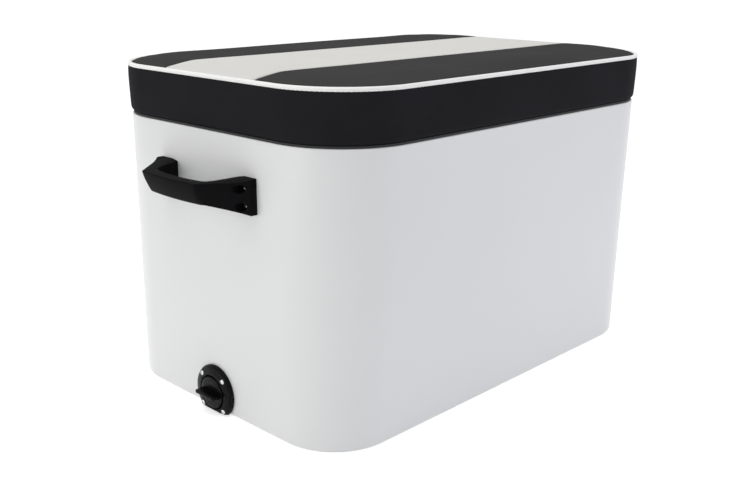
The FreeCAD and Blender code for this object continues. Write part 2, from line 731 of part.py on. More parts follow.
# Butt hinges between the rim flange and the lid: leaf, leaf and pin.
def make_hinge(side, label):
    middle = "(%d * %s / 2)" % (side, HINGE_SPREAD)
    third = "(hinge_length / 3)"
    low_end, high_end = "(%s - hinge_length / 2)" % middle, "(%s + hinge_length / 2)" % middle
    low_third, high_third = "(%s - hinge_length / 6)" % middle, "(%s + hinge_length / 6)" % middle
    low_gap, high_gap = "(%s - knuckle_gap)" % low_third, "(%s + knuckle_gap)" % high_third
    back = "(%s - hinge_depth)" % AXIS_Y
    free = "(%s - knuckle_radius - knuckle_gap)" % AXIS_Y
    box_outline = [
        (low_end, back), (high_end, back), (high_end, AXIS_Y), (high_gap, AXIS_Y),
        (high_gap, free), (low_gap, free), (low_gap, AXIS_Y), (low_end, AXIS_Y),
    ]
    lid_outline = [
        (low_end, back), (high_end, back), (high_end, free), (high_third, free),
        (high_third, AXIS_Y), (low_third, AXIS_Y), (low_third, free), (low_end, free),
    ]
    short = "%s - knuckle_gap" % third
    box_level, lid_level = RIM_TOP, "(%s - hinge_leaf)" % LID_UNDERSIDE
    box_face = "(%s + hinge_leaf)" % RIM_TOP
    sides = (
        ("box", box_level, box_outline, [(low_end, short), (high_gap, short)], box_face, -1),
        ("lid", lid_level, lid_outline, [(low_third, third)], lid_level, 1),
    )
    for owner, level, outline, barrels, screw_face, inward in sides:
        body = new_body("hinge_%s_%s_leaf" % (label, owner))
        sketch = new_sketch(body, body.Name + "_plate", offset=level)
        draw_polygon(sketch, outline)
        pad(body, sketch, "hinge_leaf")
        for index, (start, length) in enumerate(barrels):
            barrel = body.newObject("PartDesign::AdditiveCylinder", "%s_barrel%d" % (body.Name, index))
            tie(barrel, "Radius", "knuckle_radius")
            tie(barrel, "Height", length)
            barrel.Placement = FreeCAD.Placement(Vec(), FreeCAD.Rotation(UP, ALONG))
            tie(barrel, "Placement.Base.x", start)
            tie(barrel, "Placement.Base.y", AXIS_Y)
            tie(barrel, "Placement.Base.z", AXIS_Z)
        through = "hinge_length + 2 * overcut"
        eye = bore(body, body.Name + "_eye", "hinge_pin_radius + running_fit", through, Vec(), ALONG)
        tie(eye, "Placement.Base.x", "%s - overcut" % low_end)
        tie(eye, "Placement.Base.y", AXIS_Y)
        tie(eye, "Placement.Base.z", AXIS_Z)
        own_screws = [(x, y) for x, y in hinge_screw_points() if x * side > 0]
        for index, (x, y) in enumerate(own_screws):
            name = "%s_hole%d" % (body.Name, index)
            start = Vec(x, y, size(screw_face))
            direction = UP * inward
            bore(body, name, "hinge_screw_radius + hole_clearance", "hinge_leaf + overcut", start, direction)
            sink = body.newObject("PartDesign::SubtractiveCone", name + "_sink")
            tie(sink, "Radius1", "2 * hinge_screw_radius + hole_clearance")
            tie(sink, "Radius2", "hinge_screw_radius + hole_clearance")
            tie(sink, "Height", "hinge_sink")
            sink.Placement = FreeCAD.Placement(start, FreeCAD.Rotation(UP, direction))
    pin = turned_body("hinge_%s_pin" % label, [
        ("0", "-pin_head_height - pin_end_gap"),
        ("pin_head_radius", "-pin_head_height - pin_end_gap"),
        ("pin_head_radius", "-pin_end_gap"),
        ("hinge_pin_radius", "-pin_end_gap"),
        ("hinge_pin_radius", "hinge_length + pin_end_gap"),
        ("pin_head_radius", "hinge_length + pin_end_gap"),
        ("pin_head_radius", "hinge_length + pin_head_height + pin_end_gap"),
        ("0", "hinge_length + pin_head_height + pin_end_gap"),
    ])
    pin.Placement = FreeCAD.Placement(Vec(), FreeCAD.Rotation(UP, ALONG))
    tie(pin, "Placement.Base.x", "%s - hinge_length / 2" % middle)
    tie(pin, "Placement.Base.y", AXIS_Y)
    tie(pin, "Placement.Base.z", AXIS_Z)


def nut(label, flats, height, hole):
    """A six-sided nut about Z that stands on Z = 0."""
    body = new_body(label)
    sketch = new_sketch(body, label + "_outline")
    corners = []
    for turn in range(0, 360, 60):
        across = "%s / sqrt(3) * cos(%d deg)" % (flats, turn)
        up = "%s / sqrt(3) * sin(%d deg)" % (flats, turn)
        corners.append((across, up))
    draw_polygon(sketch, corners)
    draw_circle(sketch, "0", "0", hole)
    pad(body, sketch, height)
    return body


def make_hinge_fasteners():
    """Countersunk screws: machine screws with nuts in the flange, wood screws in the lid."""
    radius, head = "hinge_screw_radius", "(2 * hinge_screw_radius)"
    points = hinge_screw_points()
    bolt = sunk_screw(
        "hinge_bolt_master", head, "hinge_sink", radius, "hinge_bolt_length", "thread_chamfer",
        "(hinge_screw_radius - thread_chamfer)",
    )
    copies("hinge_box_screws", bolt, upright(points, size(RIM_TOP + " + hinge_leaf")))
    wood = sunk_screw(
        "hinge_wood_screw_master", head, "hinge_sink", radius, "hinge_wood_screw_length", "wood_screw_tip",
        "screw_tip_radius",
    )
    copies("hinge_lid_screws", wood, upside_down(points, size(LID_UNDERSIDE + " - hinge_leaf")))
    thread_hole = "hinge_screw_radius + thread_fit"
    one_nut = nut("hinge_nut_master", "hinge_nut_flats", "hinge_nut_height", thread_hole)
    level = size(RIM_TOP + " - flange_thickness - hinge_nut_height")
    copies("hinge_box_nuts", one_nut, upright(points, level))


# End handle in its own directions: X out of the wall, Y along it, Z up.
def handle_plan(reach, kink, z):
    """Outline seen from above: wall line, foot ends, sloping arms and a bowed grip."""
    half, end = size("handle_length / 2"), size("foot_end_depth")
    bow = size("grip_bow")
    points = [Vec(0, -half, z), Vec(end, -half, z), Vec(reach, -kink / 2, z)]
    back = [Vec(reach, kink / 2, z), Vec(end, half, z), Vec(0, half, z), Vec(0, -half, z)]
    edges = [Part.makeLine(first, second) for first, second in zip(points, points[1:])]
    edges.append(Part.Arc(points[-1], Vec(reach + bow, 0, z), back[0]).toShape())
    edges += [Part.makeLine(first, second) for first, second in zip(back, back[1:])]
    return Part.Wire(edges)


def arch_plan(depth, z):
    """Outline of the hand space seen from above, with rounded inner corners."""
    near, far = size("hand_gap / 2"), size("hand_gap_deep / 2")
    corner, bow = size("arch_corner"), size("grip_bow")
    start = -size("overcut")
    lean = (near - far) / depth
    side_end = depth - corner
    ease = corner * (1 - math.sqrt(0.5))
    points = {}
    for sign in (-1, 1):
        points[sign] = [
            Vec(start, sign * (near - lean * start), z),
            Vec(side_end, sign * (near - lean * side_end), z),
            Vec(depth - ease, sign * (far - ease), z),
            Vec(depth, sign * (far - corner), z),
        ]
    low, high = points[-1], points[1]
    edges = [
        Part.makeLine(low[0], low[1]),
        Part.Arc(low[1], low[2], low[3]).toShape(),
        Part.Arc(low[3], Vec(depth + bow, 0, z), high[3]).toShape(),
        Part.Arc(high[3], high[2], high[1]).toShape(),
        Part.makeLine(high[1], high[0]),
        Part.makeLine(high[0], low[0]),
    ]
    return Part.Wire(edges)


def handle_shape():
    half = size("handle_length / 2")
    low, high = -size("foot_span / 2"), size("foot_span / 2")
    overcut = size("overcut")
    body = Part.makeLoft([
        handle_plan(size("handle_reach_low"), size("kink_spread_low"), low),
        handle_plan(size("handle_reach_middle"), size("kink_spread_middle"), (low + high) / 2),
        handle_plan(size("handle_reach"), size("kink_spread"), high),
    ], True, True)
    arch = Part.makeLoft([
        arch_plan(size("handle_reach_low - grip_thickness"), low - overcut),
        arch_plan(size("handle_reach_middle - grip_thickness"), (low + high) / 2),
        arch_plan(size("handle_reach - grip_thickness"), high + overcut),
    ], True, True)

    # Seen from the front, the grip is lower than the feet at both edges.
    kink, flat = size("kink_spread / 2"), half - size("foot_flat")
    grip_top = size("grip_rise + grip_span / 2")
    grip_bottom = size("grip_rise - grip_span / 2")
    profile = [
        (-half, low), (-kink, grip_bottom), (kink, grip_bottom), (half, low),
        (half, high), (flat, high), (kink, grip_top), (-kink, grip_top), (-flat, high), (-half, high),
    ]
    wire = Part.makePolygon([Vec(-overcut, y, z) for y, z in profile + profile[:1]])
    front = Part.Face(wire).extrude(Vec(size("handle_reach + grip_bow + 2 * overcut"), 0, 0))
    shape = body.common(front).cut(arch)

    # Screw holes with round recesses for the heads.
    reach = size("handle_reach + overcut")
    for across, up in handle_screw_points():
        radius = size("handle_screw_radius + hole_clearance")
        hole = Part.makeCylinder(radius, reach, Vec(-overcut, across, up), ALONG)
        seat = Vec(size("handle_screw_seat"), across, up)
        recess = Part.makeCylinder(size("handle_counterbore"), reach, seat, ALONG)
        shape = shape.cut([hole, recess])
    return shape


def make_handles():
    shape = handle_shape()
    screw = pan_screw(
        "handle_screw_master", "handle_head_radius", "handle_head_height", "handle_screw_radius",
        "handle_screw_length", "thread_chamfer", "(handle_screw_radius - thread_chamfer)",
    )
    washer = turned_body("handle_washer_master", [
        ("handle_screw_radius + hole_clearance", "0"),
        ("washer_radius", "0"),
        ("washer_radius", "-washer_thickness"),
        ("handle_screw_radius + hole_clearance", "-washer_thickness"),
    ])
    thread_hole = "handle_screw_radius + thread_fit"
    one_nut = nut("handle_nut_master", "handle_nut_flats", "handle_nut_height", thread_hole)
    seat = size("handle_screw_seat")
    inner_face = -size("wall_thickness") / math.cos(math.radians(WALL_LEAN))
    for label, wall in (("left", LEFT_WALL), ("right", RIGHT_WALL)):
        handle = plain_feature("end_handle_" + label, shape)
        handle.Placement = wall
        nut_face = inner_face - size("washer_thickness + handle_nut_height")
        out_of_wall = wall.Rotation * FreeCAD.Rotation(UP, ALONG)
        kinds = (("screws", screw, seat), ("washers", washer, inner_face), ("nuts", one_nut, nut_face))
        for kind, master, out in kinds:
            places = []
            for across, up in handle_screw_points():
                places.append(FreeCAD.Placement(on_wall(wall, out, across, up), out_of_wall))
            copies("handle_%s_%s" % (label, kind), master, places)


# Drain: a flat-bottomed socket with its gasket and screws, and a winged plug with its seal.
def cut_flat(body, name):
    """Take off what lies below the drain's flat."""
    sketch = new_sketch(body, name)
    reach, flat = "(drain_radius + overcut)", "-drain_flat"
    below = "-" + reach
    draw_polygon(sketch, [(below, below), (reach, below), (reach, flat), (below, flat)])
    made = pocket(body, sketch, "4 * drain_barrel_length", reverse=True)
    made.Midplane = True


def make_drain():
    # Local Z points out of the wall, local Y up along it.
    turn = DRAIN_WALL.Rotation * FreeCAD.Rotation(ACROSS, UP, ALONG, "ZXY")
    place = FreeCAD.Placement(DRAIN_WALL.Base, turn)
    gasket = "drain_gasket_thickness"
    socket = turned_body("drain_socket", [
        ("drain_bore", "-drain_barrel_length"),
        ("drain_barrel", "-drain_barrel_length"),
        ("drain_barrel", gasket),
        ("drain_radius", gasket),
        ("drain_radius", "(%s + drain_edge)" % gasket),
        ("(drain_radius - drain_bevel)", "(%s + drain_shoulder)" % gasket),
        ("(drain_recess + drain_bevel)", "(%s + drain_dome)" % gasket),
        ("drain_recess", "(%s + drain_dome)" % gasket),
        ("drain_recess", "(%s + drain_dome - drain_recess_depth)" % gasket),
        ("drain_bore", "(%s + drain_dome - drain_recess_depth)" % gasket),
    ])
    cut_flat(socket, "socket_flat")
    seal = turned_body("drain_gasket", [
        ("(drain_barrel + hole_clearance)", "0"),
        ("drain_radius - gasket_setback", "0"),
        ("drain_radius - gasket_setback", gasket),
        ("(drain_barrel + hole_clearance)", gasket),
    ])
    cut_flat(seal, "gasket_flat")
    for piece in (socket, seal):
        for index, (across, up) in enumerate(drain_screw_points()):
            start = Vec(across, up, -size("overcut"))
            name = "%s_hole%d" % (piece.Name, index)
            bore(piece, name, "drain_screw_radius + hole_clearance", "drain_dome + 2 * overcut", start, UP)
    level = size("drain_gasket_thickness + drain_shoulder")
    for index, (across, up) in enumerate(drain_screw_points()):
        # A small flat seat lets each pan head sit square on the domed flange.
        seat = Vec(across, up, level)
        bore(socket, "screw_seat%d" % index, "drain_head_radius + hole_clearance", "2 * overcut", seat, UP)
    screw = pan_screw(
        "drain_screw_master", "drain_head_radius", "drain_head_height", "drain_screw_radius",
        "drain_screw_length", "wood_screw_tip", "screw_tip_radius",
    )
    places = [place.multiply(own) for own in upright(drain_screw_points(), level)]
    copies("drain_screws", screw, places)

    floor = "(%s + drain_dome - drain_recess_depth)" % gasket
    wire = "plug_seal_wire"
    under = "(%s + 2 * %s + seal_gap)" % (floor, wire)
    shank, end = "(drain_bore - running_fit)", "(%s - plug_shank_length)" % under
    cap_top = "(%s + plug_cap_height)" % under
    plug = turned_body("drain_plug", [
        ("0", end),
        ("(%s - plug_chamfer)" % shank, end),
        (shank, "(%s + plug_chamfer)" % end),
        (shank, under),
        ("plug_cap", under),
        ("plug_cap", "(%s - plug_chamfer)" % cap_top),
        ("(plug_cap - plug_chamfer)", cap_top),
        ("0", cap_top),
    ])
    doc.recompute()
    wing = new_sketch(plug, "wing_face", "XZ_Plane")
    root = "(%s - wing_root)" % cap_top
    tip = "(%s + plug_wing_height)" % root
    shoulder = "(%s - wing_chamfer)" % tip
    draw_polygon(wing, [
        ("-plug_wing_length / 2", root),
        ("plug_wing_length / 2", root),
        ("(plug_wing_tip / 2 + wing_chamfer)", shoulder),
        ("(plug_wing_tip / 2)", tip),
        ("-(plug_wing_tip / 2)", tip),
        ("-(plug_wing_tip / 2 + wing_chamfer)", shoulder),
    ])
    blade = pad(plug, wing, "plug_wing_thickness")
    blade.Midplane = True
    ring = doc.addObject("Part::Torus", "drain_plug_seal")
    ring.Label = "drain_plug_seal"
    tie(ring, "Radius1", "(drain_bore + %s + seal_gap)" % wire)
    tie(ring, "Radius2", wire)
    seal_level = size("%s + %s" % (floor, wire))
    ring.Placement = place.multiply(FreeCAD.Placement(Vec(0, 0, seal_level), FreeCAD.Rotation()))
    for piece in (socket, seal, plug):
        piece.Placement = place


make_box_shell()
make_rim_seals()
make_lid()
make_liner()
make_hinge(-1, "left")
make_hinge(1, "right")
make_hinge_fasteners()
make_handles()
make_drain()
doc.recompute()

# Every object has to be sound before anything is written.
NODES = [
    "box_shell", "rim_seal_main", "rim_seal_rear", "lid_board", "cushion_foam", "side_band", "top_piping",
    "top_panel_front", "top_panel_centre", "top_panel_rear", "cover_staples", "lid_liner", "liner_screws",
    "hinge_left_box_leaf", "hinge_left_lid_leaf", "hinge_left_pin",
    "hinge_right_box_leaf", "hinge_right_lid_leaf", "hinge_right_pin",
    "hinge_box_screws", "hinge_box_nuts", "hinge_lid_screws",
    "end_handle_left", "handle_left_screws", "handle_left_washers", "handle_left_nuts",
    "end_handle_right", "handle_right_screws", "handle_right_washers", "handle_right_nuts",
    "drain_socket", "drain_gasket", "drain_screws", "drain_plug", "drain_plug_seal",
]
for made in doc.Objects:
    if "Invalid" in made.State or "Error" in made.State:
        raise RuntimeError("failed object: " + made.Name)
os.makedirs("parts", exist_ok=True)
for label in NODES:
    piece = doc.getObjectsByLabel(label)[0]
    if piece.Shape.isNull() or not piece.Shape.isValid():
        raise RuntimeError("bad shape: " + label)
for label in NODES:
    piece = doc.getObjectsByLabel(label)[0]
    piece.Shape.exportStep("parts/%s.step" % label)
    print(label, len(piece.Shape.Solids), round(piece.Shape.Volume / 1000, 2), "cm3")
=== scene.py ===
import math

import bmesh
import bpy
from mathutils import Matrix, Vector


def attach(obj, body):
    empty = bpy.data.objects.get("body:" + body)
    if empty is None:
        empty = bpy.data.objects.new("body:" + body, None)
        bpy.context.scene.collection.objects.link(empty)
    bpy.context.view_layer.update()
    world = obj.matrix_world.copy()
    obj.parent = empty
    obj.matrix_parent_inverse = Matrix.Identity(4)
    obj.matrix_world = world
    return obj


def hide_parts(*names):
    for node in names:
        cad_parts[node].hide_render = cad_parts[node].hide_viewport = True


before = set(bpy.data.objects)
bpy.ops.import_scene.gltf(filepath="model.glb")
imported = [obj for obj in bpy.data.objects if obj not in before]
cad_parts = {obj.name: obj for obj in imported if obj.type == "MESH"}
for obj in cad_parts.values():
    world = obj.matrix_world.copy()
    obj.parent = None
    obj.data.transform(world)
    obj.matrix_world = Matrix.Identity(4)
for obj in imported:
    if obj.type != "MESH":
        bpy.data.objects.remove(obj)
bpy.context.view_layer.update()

# ---- Box shell ---------------------------------------------------------------
# An open tub of chopped glass mat and polyester resin, laid up by hand in a polished mould.
# The outside is white gel-coat; the inside is brushed with flow-coat. A flange turns inward
# at the rim, and a thicker pad inside one end wall carries the drain.
MM = 0.001
RIM_TOP = 299.5
FLANGE_WIDTH, FLANGE_THICKNESS, WALL = 28, 5, 5
FOOT_EDGE, COVE, RIM_EDGE, LIP_EDGE = 5, 5, 1.2, 1.5
END_DRAFT, SIDE_DRAFT, CORNER_DRAFT = 1.5, 10.5, 15.5
RIM_LENGTH, RIM_WIDTH, RIM_CORNER = 545, 375, 83.5
DRAIN_HEIGHT, DRAIN_HOLE = 22, 12.65
GELCOAT, FLOWCOAT = "ECEDEE", "DDDEDC"


def linear(hex_code):
    """An sRGB hex colour as the linear RGBA that shader sockets take."""
    parts = [int(hex_code[start:start + 2], 16) / 255 for start in (0, 2, 4)]
    return [p / 12.92 if p <= 0.04045 else ((p + 0.055) / 1.055) ** 2.4 for p in parts] + [1]


def new_material(name):
    material = bpy.data.materials.new(name)
    material.use_nodes = True
    material.node_tree.nodes.clear()
    return material


def add(owner, kind, inputs, **settings):
    """Adds one shader node; each input takes a value or another node's output."""
    made = owner.node_tree.nodes.new("ShaderNode" + kind)
    for name, value in settings.items():
        setattr(made, name, value)
    for socket, value in inputs.items():
        if isinstance(value, bpy.types.NodeSocket):
            owner.node_tree.links.new(value, made.inputs[socket])
        else:
            made.inputs[socket].default_value = value
    return made


def round_corners(bm, corners, radius, steps):
    """Rounds some corners of a lone face and returns the face."""
    made = bmesh.ops.bevel(
        bm, geom=corners, offset=radius * MM, segments=steps, profile=0.5, affect="VERTICES", material=-1,
    )
    return made["verts"][0].link_faces[0]


def rounded_face(bm, length, width, corner, height, steps):
    """A level rectangle about the Z axis with rounded corners, from sizes in millimetres."""
    place = Matrix.Translation((0, 0, height * MM)) @ Matrix.Diagonal((length * MM, width * MM, 1, 1))
    made = bmesh.ops.create_grid(bm, x_segments=1, y_segments=1, size=0.5, matrix=place)
    return round_corners(bm, made["verts"], corner, steps)


def loft(bm, outlines, steps=16, ring=False):
    """Joins rounded rectangles one to the next, with a cap at each end unless it is a ring."""
    faces = [rounded_face(bm, *outline, steps) for outline in outlines]
    loops = [list(face.edges) for face in faces]
    pairs = list(zip(loops, loops[1:]))
    if ring:
        pairs.append((loops[-1], loops[0]))
    inner = faces if ring else faces[1:-1]
    bmesh.ops.delete(bm, geom=inner, context="FACES_ONLY")
    for low, high in pairs:
        bmesh.ops.bridge_loops(bm, edges=low + high)


def new_piece(name, bm, *materials, smooth_below=35):
    """Makes an object of a bmesh, shaded smooth but for edges sharper than the angle."""
    bmesh.ops.remove_doubles(bm, verts=bm.verts, dist=0.00001)
    bmesh.ops.recalc_face_normals(bm, faces=bm.faces)
    mesh = bpy.data.meshes.new(name)
    bm.to_mesh(mesh)
    bm.free()
    for material in materials:
        mesh.materials.append(material)
    mesh.shade_smooth()
    mesh.set_sharp_from_angle(angle=math.radians(smooth_below))
    piece = bpy.data.objects.new(name, mesh)
    bpy.context.scene.collection.objects.link(piece)
    return piece


def settle(piece, smooth_below=35):
    """Fixes a piece's modifiers into its mesh."""
    graph = bpy.context.evaluated_depsgraph_get()
    mesh = bpy.data.meshes.new_from_object(piece.evaluated_get(graph))
    piece.modifiers.clear()
    piece.data = mesh
    mesh.shade_smooth()
    mesh.set_sharp_from_angle(angle=math.radians(smooth_below))


def carve(piece, tool, operation="DIFFERENCE"):
    """Cuts a piece with a tool, or joins them; the tool is used up."""
    cut = piece.modifiers.new("cut", "BOOLEAN")
    cut.operation, cut.solver, cut.object = operation, "EXACT", tool
    settle(piece)
    bpy.data.objects.remove(tool)


def end_wall(side, height):
    """Where X points out of the end wall, Z up along it; side is -1 or 1, height in mm."""
    lean = side * math.atan2(END_DRAFT, RIM_TOP)
    out = side * (RIM_LENGTH / 2 - END_DRAFT * (1 - height / RIM_TOP))
    place = Matrix.Translation((out * MM, 0, height * MM)) @ Matrix.Rotation(lean, 4, "Y")
    return place @ Matrix.Rotation(math.pi if side < 0 else 0, 4, "Z")


def rod(bm, radius, length, place, sides=32):
    """A round bar from a place along its X, in millimetres."""
    turn = Matrix.Rotation(math.pi / 2, 4, "Y") @ Matrix.Translation((0, 0, length * MM / 2))
    bmesh.ops.create_cone(
        bm, cap_ends=True, segments=sides, radius1=radius * MM, radius2=radius * MM,
        depth=length * MM, matrix=place @ turn,
    )


def tub_outline(level, inset):
    drop = 1 - level / RIM_TOP
    length = RIM_LENGTH - 2 * END_DRAFT * drop - 2 * inset
    width = RIM_WIDTH - 2 * SIDE_DRAFT * drop - 2 * inset
    return length, width, RIM_CORNER - CORNER_DRAFT * drop - inset, level


def rounding(level, inset, radius, start, stop, turns=6):
    """Outlines round a quarter edge, by the angle from straight down."""
    outlines = []
    for turn in range(turns + 1):
        angle = math.radians(start + (stop - start) * turn / turns)
        outlines.append(tub_outline(level - radius * math.cos(angle), inset - radius * math.sin(angle)))
    return outlines


outlines = rounding(FOOT_EDGE, FOOT_EDGE, FOOT_EDGE, 0, 90)
outlines += rounding(RIM_TOP - RIM_EDGE, RIM_EDGE, RIM_EDGE, 90, 180)
lip = FLANGE_WIDTH - LIP_EDGE
outlines += rounding(RIM_TOP - LIP_EDGE, lip, LIP_EDGE, 180, 270)
outlines += rounding(RIM_TOP - FLANGE_THICKNESS + LIP_EDGE, lip, LIP_EDGE, 270, 360)
outlines += [tub_outline(RIM_TOP - FLANGE_THICKNESS, WALL)]
outlines += rounding(WALL + COVE, WALL + COVE, COVE, 90, 0)

# Gel-coat: polyester, glossy from the mould and faintly rippled where the glass prints through.
gelcoat = new_material("polyester_gelcoat_moulded")
place = add(gelcoat, "TexCoord", {}).outputs["Object"]
ripple = add(gelcoat, "TexNoise", {"Vector": place, "Scale": 1 / (14 * MM), "Detail": 2})
drift = add(gelcoat, "TexNoise", {"Vector": place, "Scale": 1 / (160 * MM), "Detail": 3})
shade = add(gelcoat, "Mix", {
    "Factor": drift.outputs["Fac"], "A": linear("E9EAEB"), "B": linear(GELCOAT),
}, data_type="RGBA")
relief = add(gelcoat, "Bump", {"Height": ripple.outputs["Fac"], "Strength": 0.05, "Distance": 0.3 * MM})
dulling = add(gelcoat, "MapRange", {"Value": ripple.outputs["Fac"], "To Min": 0.26, "To Max": 0.36})
coat = add(gelcoat, "BsdfPrincipled", {
    "Base Color": shade.outputs["Result"], "Roughness": dulling.outputs["Result"],
    "Normal": relief.outputs["Normal"], "IOR": 1.5,
})
add(gelcoat, "OutputMaterial", {"Surface": coat.outputs["BSDF"]})

# Flow-coat: the same resin brushed on, so it is duller, with brush streaks and glass bumps.
flowcoat = new_material("polyester_flowcoat_brushed")
place = add(flowcoat, "TexCoord", {}).outputs["Object"]
streaks = add(flowcoat, "Mapping", {"Vector": place, "Scale": (1, 1, 0.2)})
brush = add(flowcoat, "TexNoise", {"Vector": streaks.outputs["Vector"], "Scale": 1 / (5 * MM), "Detail": 5})
glass = add(flowcoat, "TexVoronoi", {"Vector": place, "Scale": 1 / (9 * MM)})
height = add(flowcoat, "Math", {0: brush.outputs["Fac"], 1: glass.outputs["Distance"]}, operation="ADD")
shade = add(flowcoat, "Mix", {
    "Factor": brush.outputs["Fac"], "A": linear("D2D3D1"), "B": linear(FLOWCOAT),
}, data_type="RGBA")
relief = add(flowcoat, "Bump", {"Height": height.outputs[0], "Strength": 0.35, "Distance": 0.5 * MM})
coat = add(flowcoat, "BsdfPrincipled", {
    "Base Color": shade.outputs["Result"], "Roughness": 0.52, "Normal": relief.outputs["Normal"],
})
add(flowcoat, "OutputMaterial", {"Surface": coat.outputs["BSDF"]})

bm = bmesh.new()
loft(bm, outlines)
shell = new_piece("box_tub", bm, gelcoat, flowcoat)

PAD_IN, PAD_OUT, PAD_WIDTH, PAD_HEIGHT, FLOOR_ZONE = -258, -268, 56, 44, 40
bm = bmesh.new()
middle = ((PAD_IN + PAD_OUT) / 2 * MM, 0, (WALL + PAD_HEIGHT / 2 - 1) * MM)
scale = ((PAD_IN - PAD_OUT) * MM, PAD_WIDTH * MM, (PAD_HEIGHT + 2) * MM, 1)
bmesh.ops.create_cube(bm, size=1, matrix=Matrix.Translation(middle) @ Matrix.Diagonal(scale))
bmesh.ops.bevel(bm, geom=bm.edges, offset=2 * MM, segments=3, profile=0.5, affect="EDGES", material=-1)
carve(shell, new_piece("pad", bm), "UNION")
bm = bmesh.new()
rod(bm, DRAIN_HOLE, 40, end_wall(-1, DRAIN_HEIGHT) @ Matrix.Translation((-30 * MM, 0, 0)), 48)
carve(shell, new_piece("drain_hole", bm))
for face in shell.data.polygons:
    inside = face.center.z < (RIM_TOP - 1) * MM and face.center.dot(face.normal.xyz * Vector((1, 1, 0))) < 0
    floor = face.normal.z > 0.3 and face.center.z < FLOOR_ZONE * MM
    face.material_index = 1 if inside or floor else 0
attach(shell, "box")
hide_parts("box_shell")

# ---- Rim seals ---------------------------------------------------------------
# Strips of soft EPDM rubber glued to the rim, which the lid closes on. The long one runs round
# three sides, and a short one fills in between the hinges.
RUBBER = "1B1B1C"


def finish_node(name, material):
    """Gives a CAD node its finish."""
    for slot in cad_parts[name].material_slots:
        slot.material = material


rubber = new_material("epdm_rubber_extruded")
place = add(rubber, "TexCoord", {}).outputs["Object"]
bloom = add(rubber, "TexNoise", {"Vector": place, "Scale": 1 / (8 * MM), "Detail": 4})
shade = add(rubber, "Mix", {
    "Factor": bloom.outputs["Fac"], "A": linear(RUBBER), "B": linear("2A2A2B"),
}, data_type="RGBA")
skin = add(rubber, "TexNoise", {"Vector": place, "Scale": 1 / (0.8 * MM)})
relief = add(rubber, "Bump", {"Height": skin.outputs["Fac"], "Strength": 0.3, "Distance": 0.1 * MM})
coat = add(rubber, "BsdfPrincipled", {
    "Base Color": shade.outputs["Result"], "Roughness": 0.75, "Normal": relief.outputs["Normal"],
})
add(rubber, "OutputMaterial", {"Surface": coat.outputs["BSDF"]})
for name in ("rim_seal_main", "rim_seal_rear", "drain_gasket", "drain_plug_seal"):
    finish_node(name, rubber)

# ---- Hinges, nuts, washers and staples ---------------------------------------
# Two pressed stainless butt hinges, bolted through the flange and screwed into the lid board.
# Plates keep the fine lines of the rolled sheet, and the turned parts share the same finish.
stainless = new_material("stainless_steel_rolled")
place = add(stainless, "TexCoord", {}).outputs["Object"]
lines = add(stainless, "Mapping", {"Vector": place, "Scale": (0.08, 1, 1)})
rolled = add(stainless, "TexNoise", {
    "Vector": lines.outputs["Vector"], "Scale": 1 / (0.5 * MM), "Detail": 3,
})
dulling = add(stainless, "MapRange", {"Value": rolled.outputs["Fac"], "To Min": 0.2, "To Max": 0.42})
shade = add(stainless, "Mix", {
    "Factor": rolled.outputs["Fac"], "A": linear("B4B6B8"), "B": linear("CFD1D2"),
}, data_type="RGBA")
relief = add(stainless, "Bump", {"Height": rolled.outputs["Fac"], "Strength": 0.15, "Distance": 0.03 * MM})
coat = add(stainless, "BsdfPrincipled", {
    "Base Color": shade.outputs["Result"], "Metallic": 1.0, "Roughness": dulling.outputs["Result"],
    "Normal": relief.outputs["Normal"],
})
add(stainless, "OutputMaterial", {"Surface": coat.outputs["BSDF"]})
for name in (
    "hinge_left_box_leaf", "hinge_left_lid_leaf", "hinge_left_pin", "hinge_right_box_leaf",
    "hinge_right_lid_leaf", "hinge_right_pin", "hinge_box_screws", "hinge_box_nuts", "hinge_lid_screws",
    "handle_left_washers", "handle_left_nuts", "handle_right_washers", "handle_right_nuts",
    "cover_staples", "liner_screws",
):
    finish_node(name, stainless)

# ---- End handles -------------------------------------------------------------
# Grips moulded in black glass-filled nylon with a fine spark-eroded texture: a foot at each
# end, an arm that slopes out, and a bowed grip. Two screws go through recesses in each foot.
HANDLE_HEIGHT, HANDLE_HALF, FOOT_HALF, FOOT_FLAT, FOOT_END = 245.5, 75.5, 17.5, 58.5, 8
REACH_LOW, REACH_HIGH, KINK_LOW, KINK_HIGH = 32.5, 48.4, 40.5, 42.8
GRIP_TOP, GRIP_BOTTOM, GRIP_THICKNESS, GRIP_BOW = 14.5, -7.5, 13.5, 3
GAP_TURN, GRIP_ROUND, FOOT_ROUND, SWELLING = 31, 1.6, 0.9, 3
SCREW_ACROSS, SCREW_UP, SCREW_SEAT, RECESS = 68.5, 8.75, 6, 4.4
# Each station along half the handle: outer Y, inner Y, and the share of its full way out that
# the inner face has reached. GRIP_ROUND and FOOT_ROUND are edge radii, SWELLING the grip's bulge.
STATIONS = [
    (HANDLE_HALF, HANDLE_HALF, 0), (73, 73, 0), (67.5, 67.5, 0), (FOOT_FLAT, FOOT_FLAT, 0),
    (51.5, 50, 0), (46, 47, 0.38), (KINK_HIGH, 44.5, 0.68), (39.5, 41, 0.88), (35, 36.5, 0.98),
    (30, 30, 1), (20, 20, 1), (10, 10, 1),
]


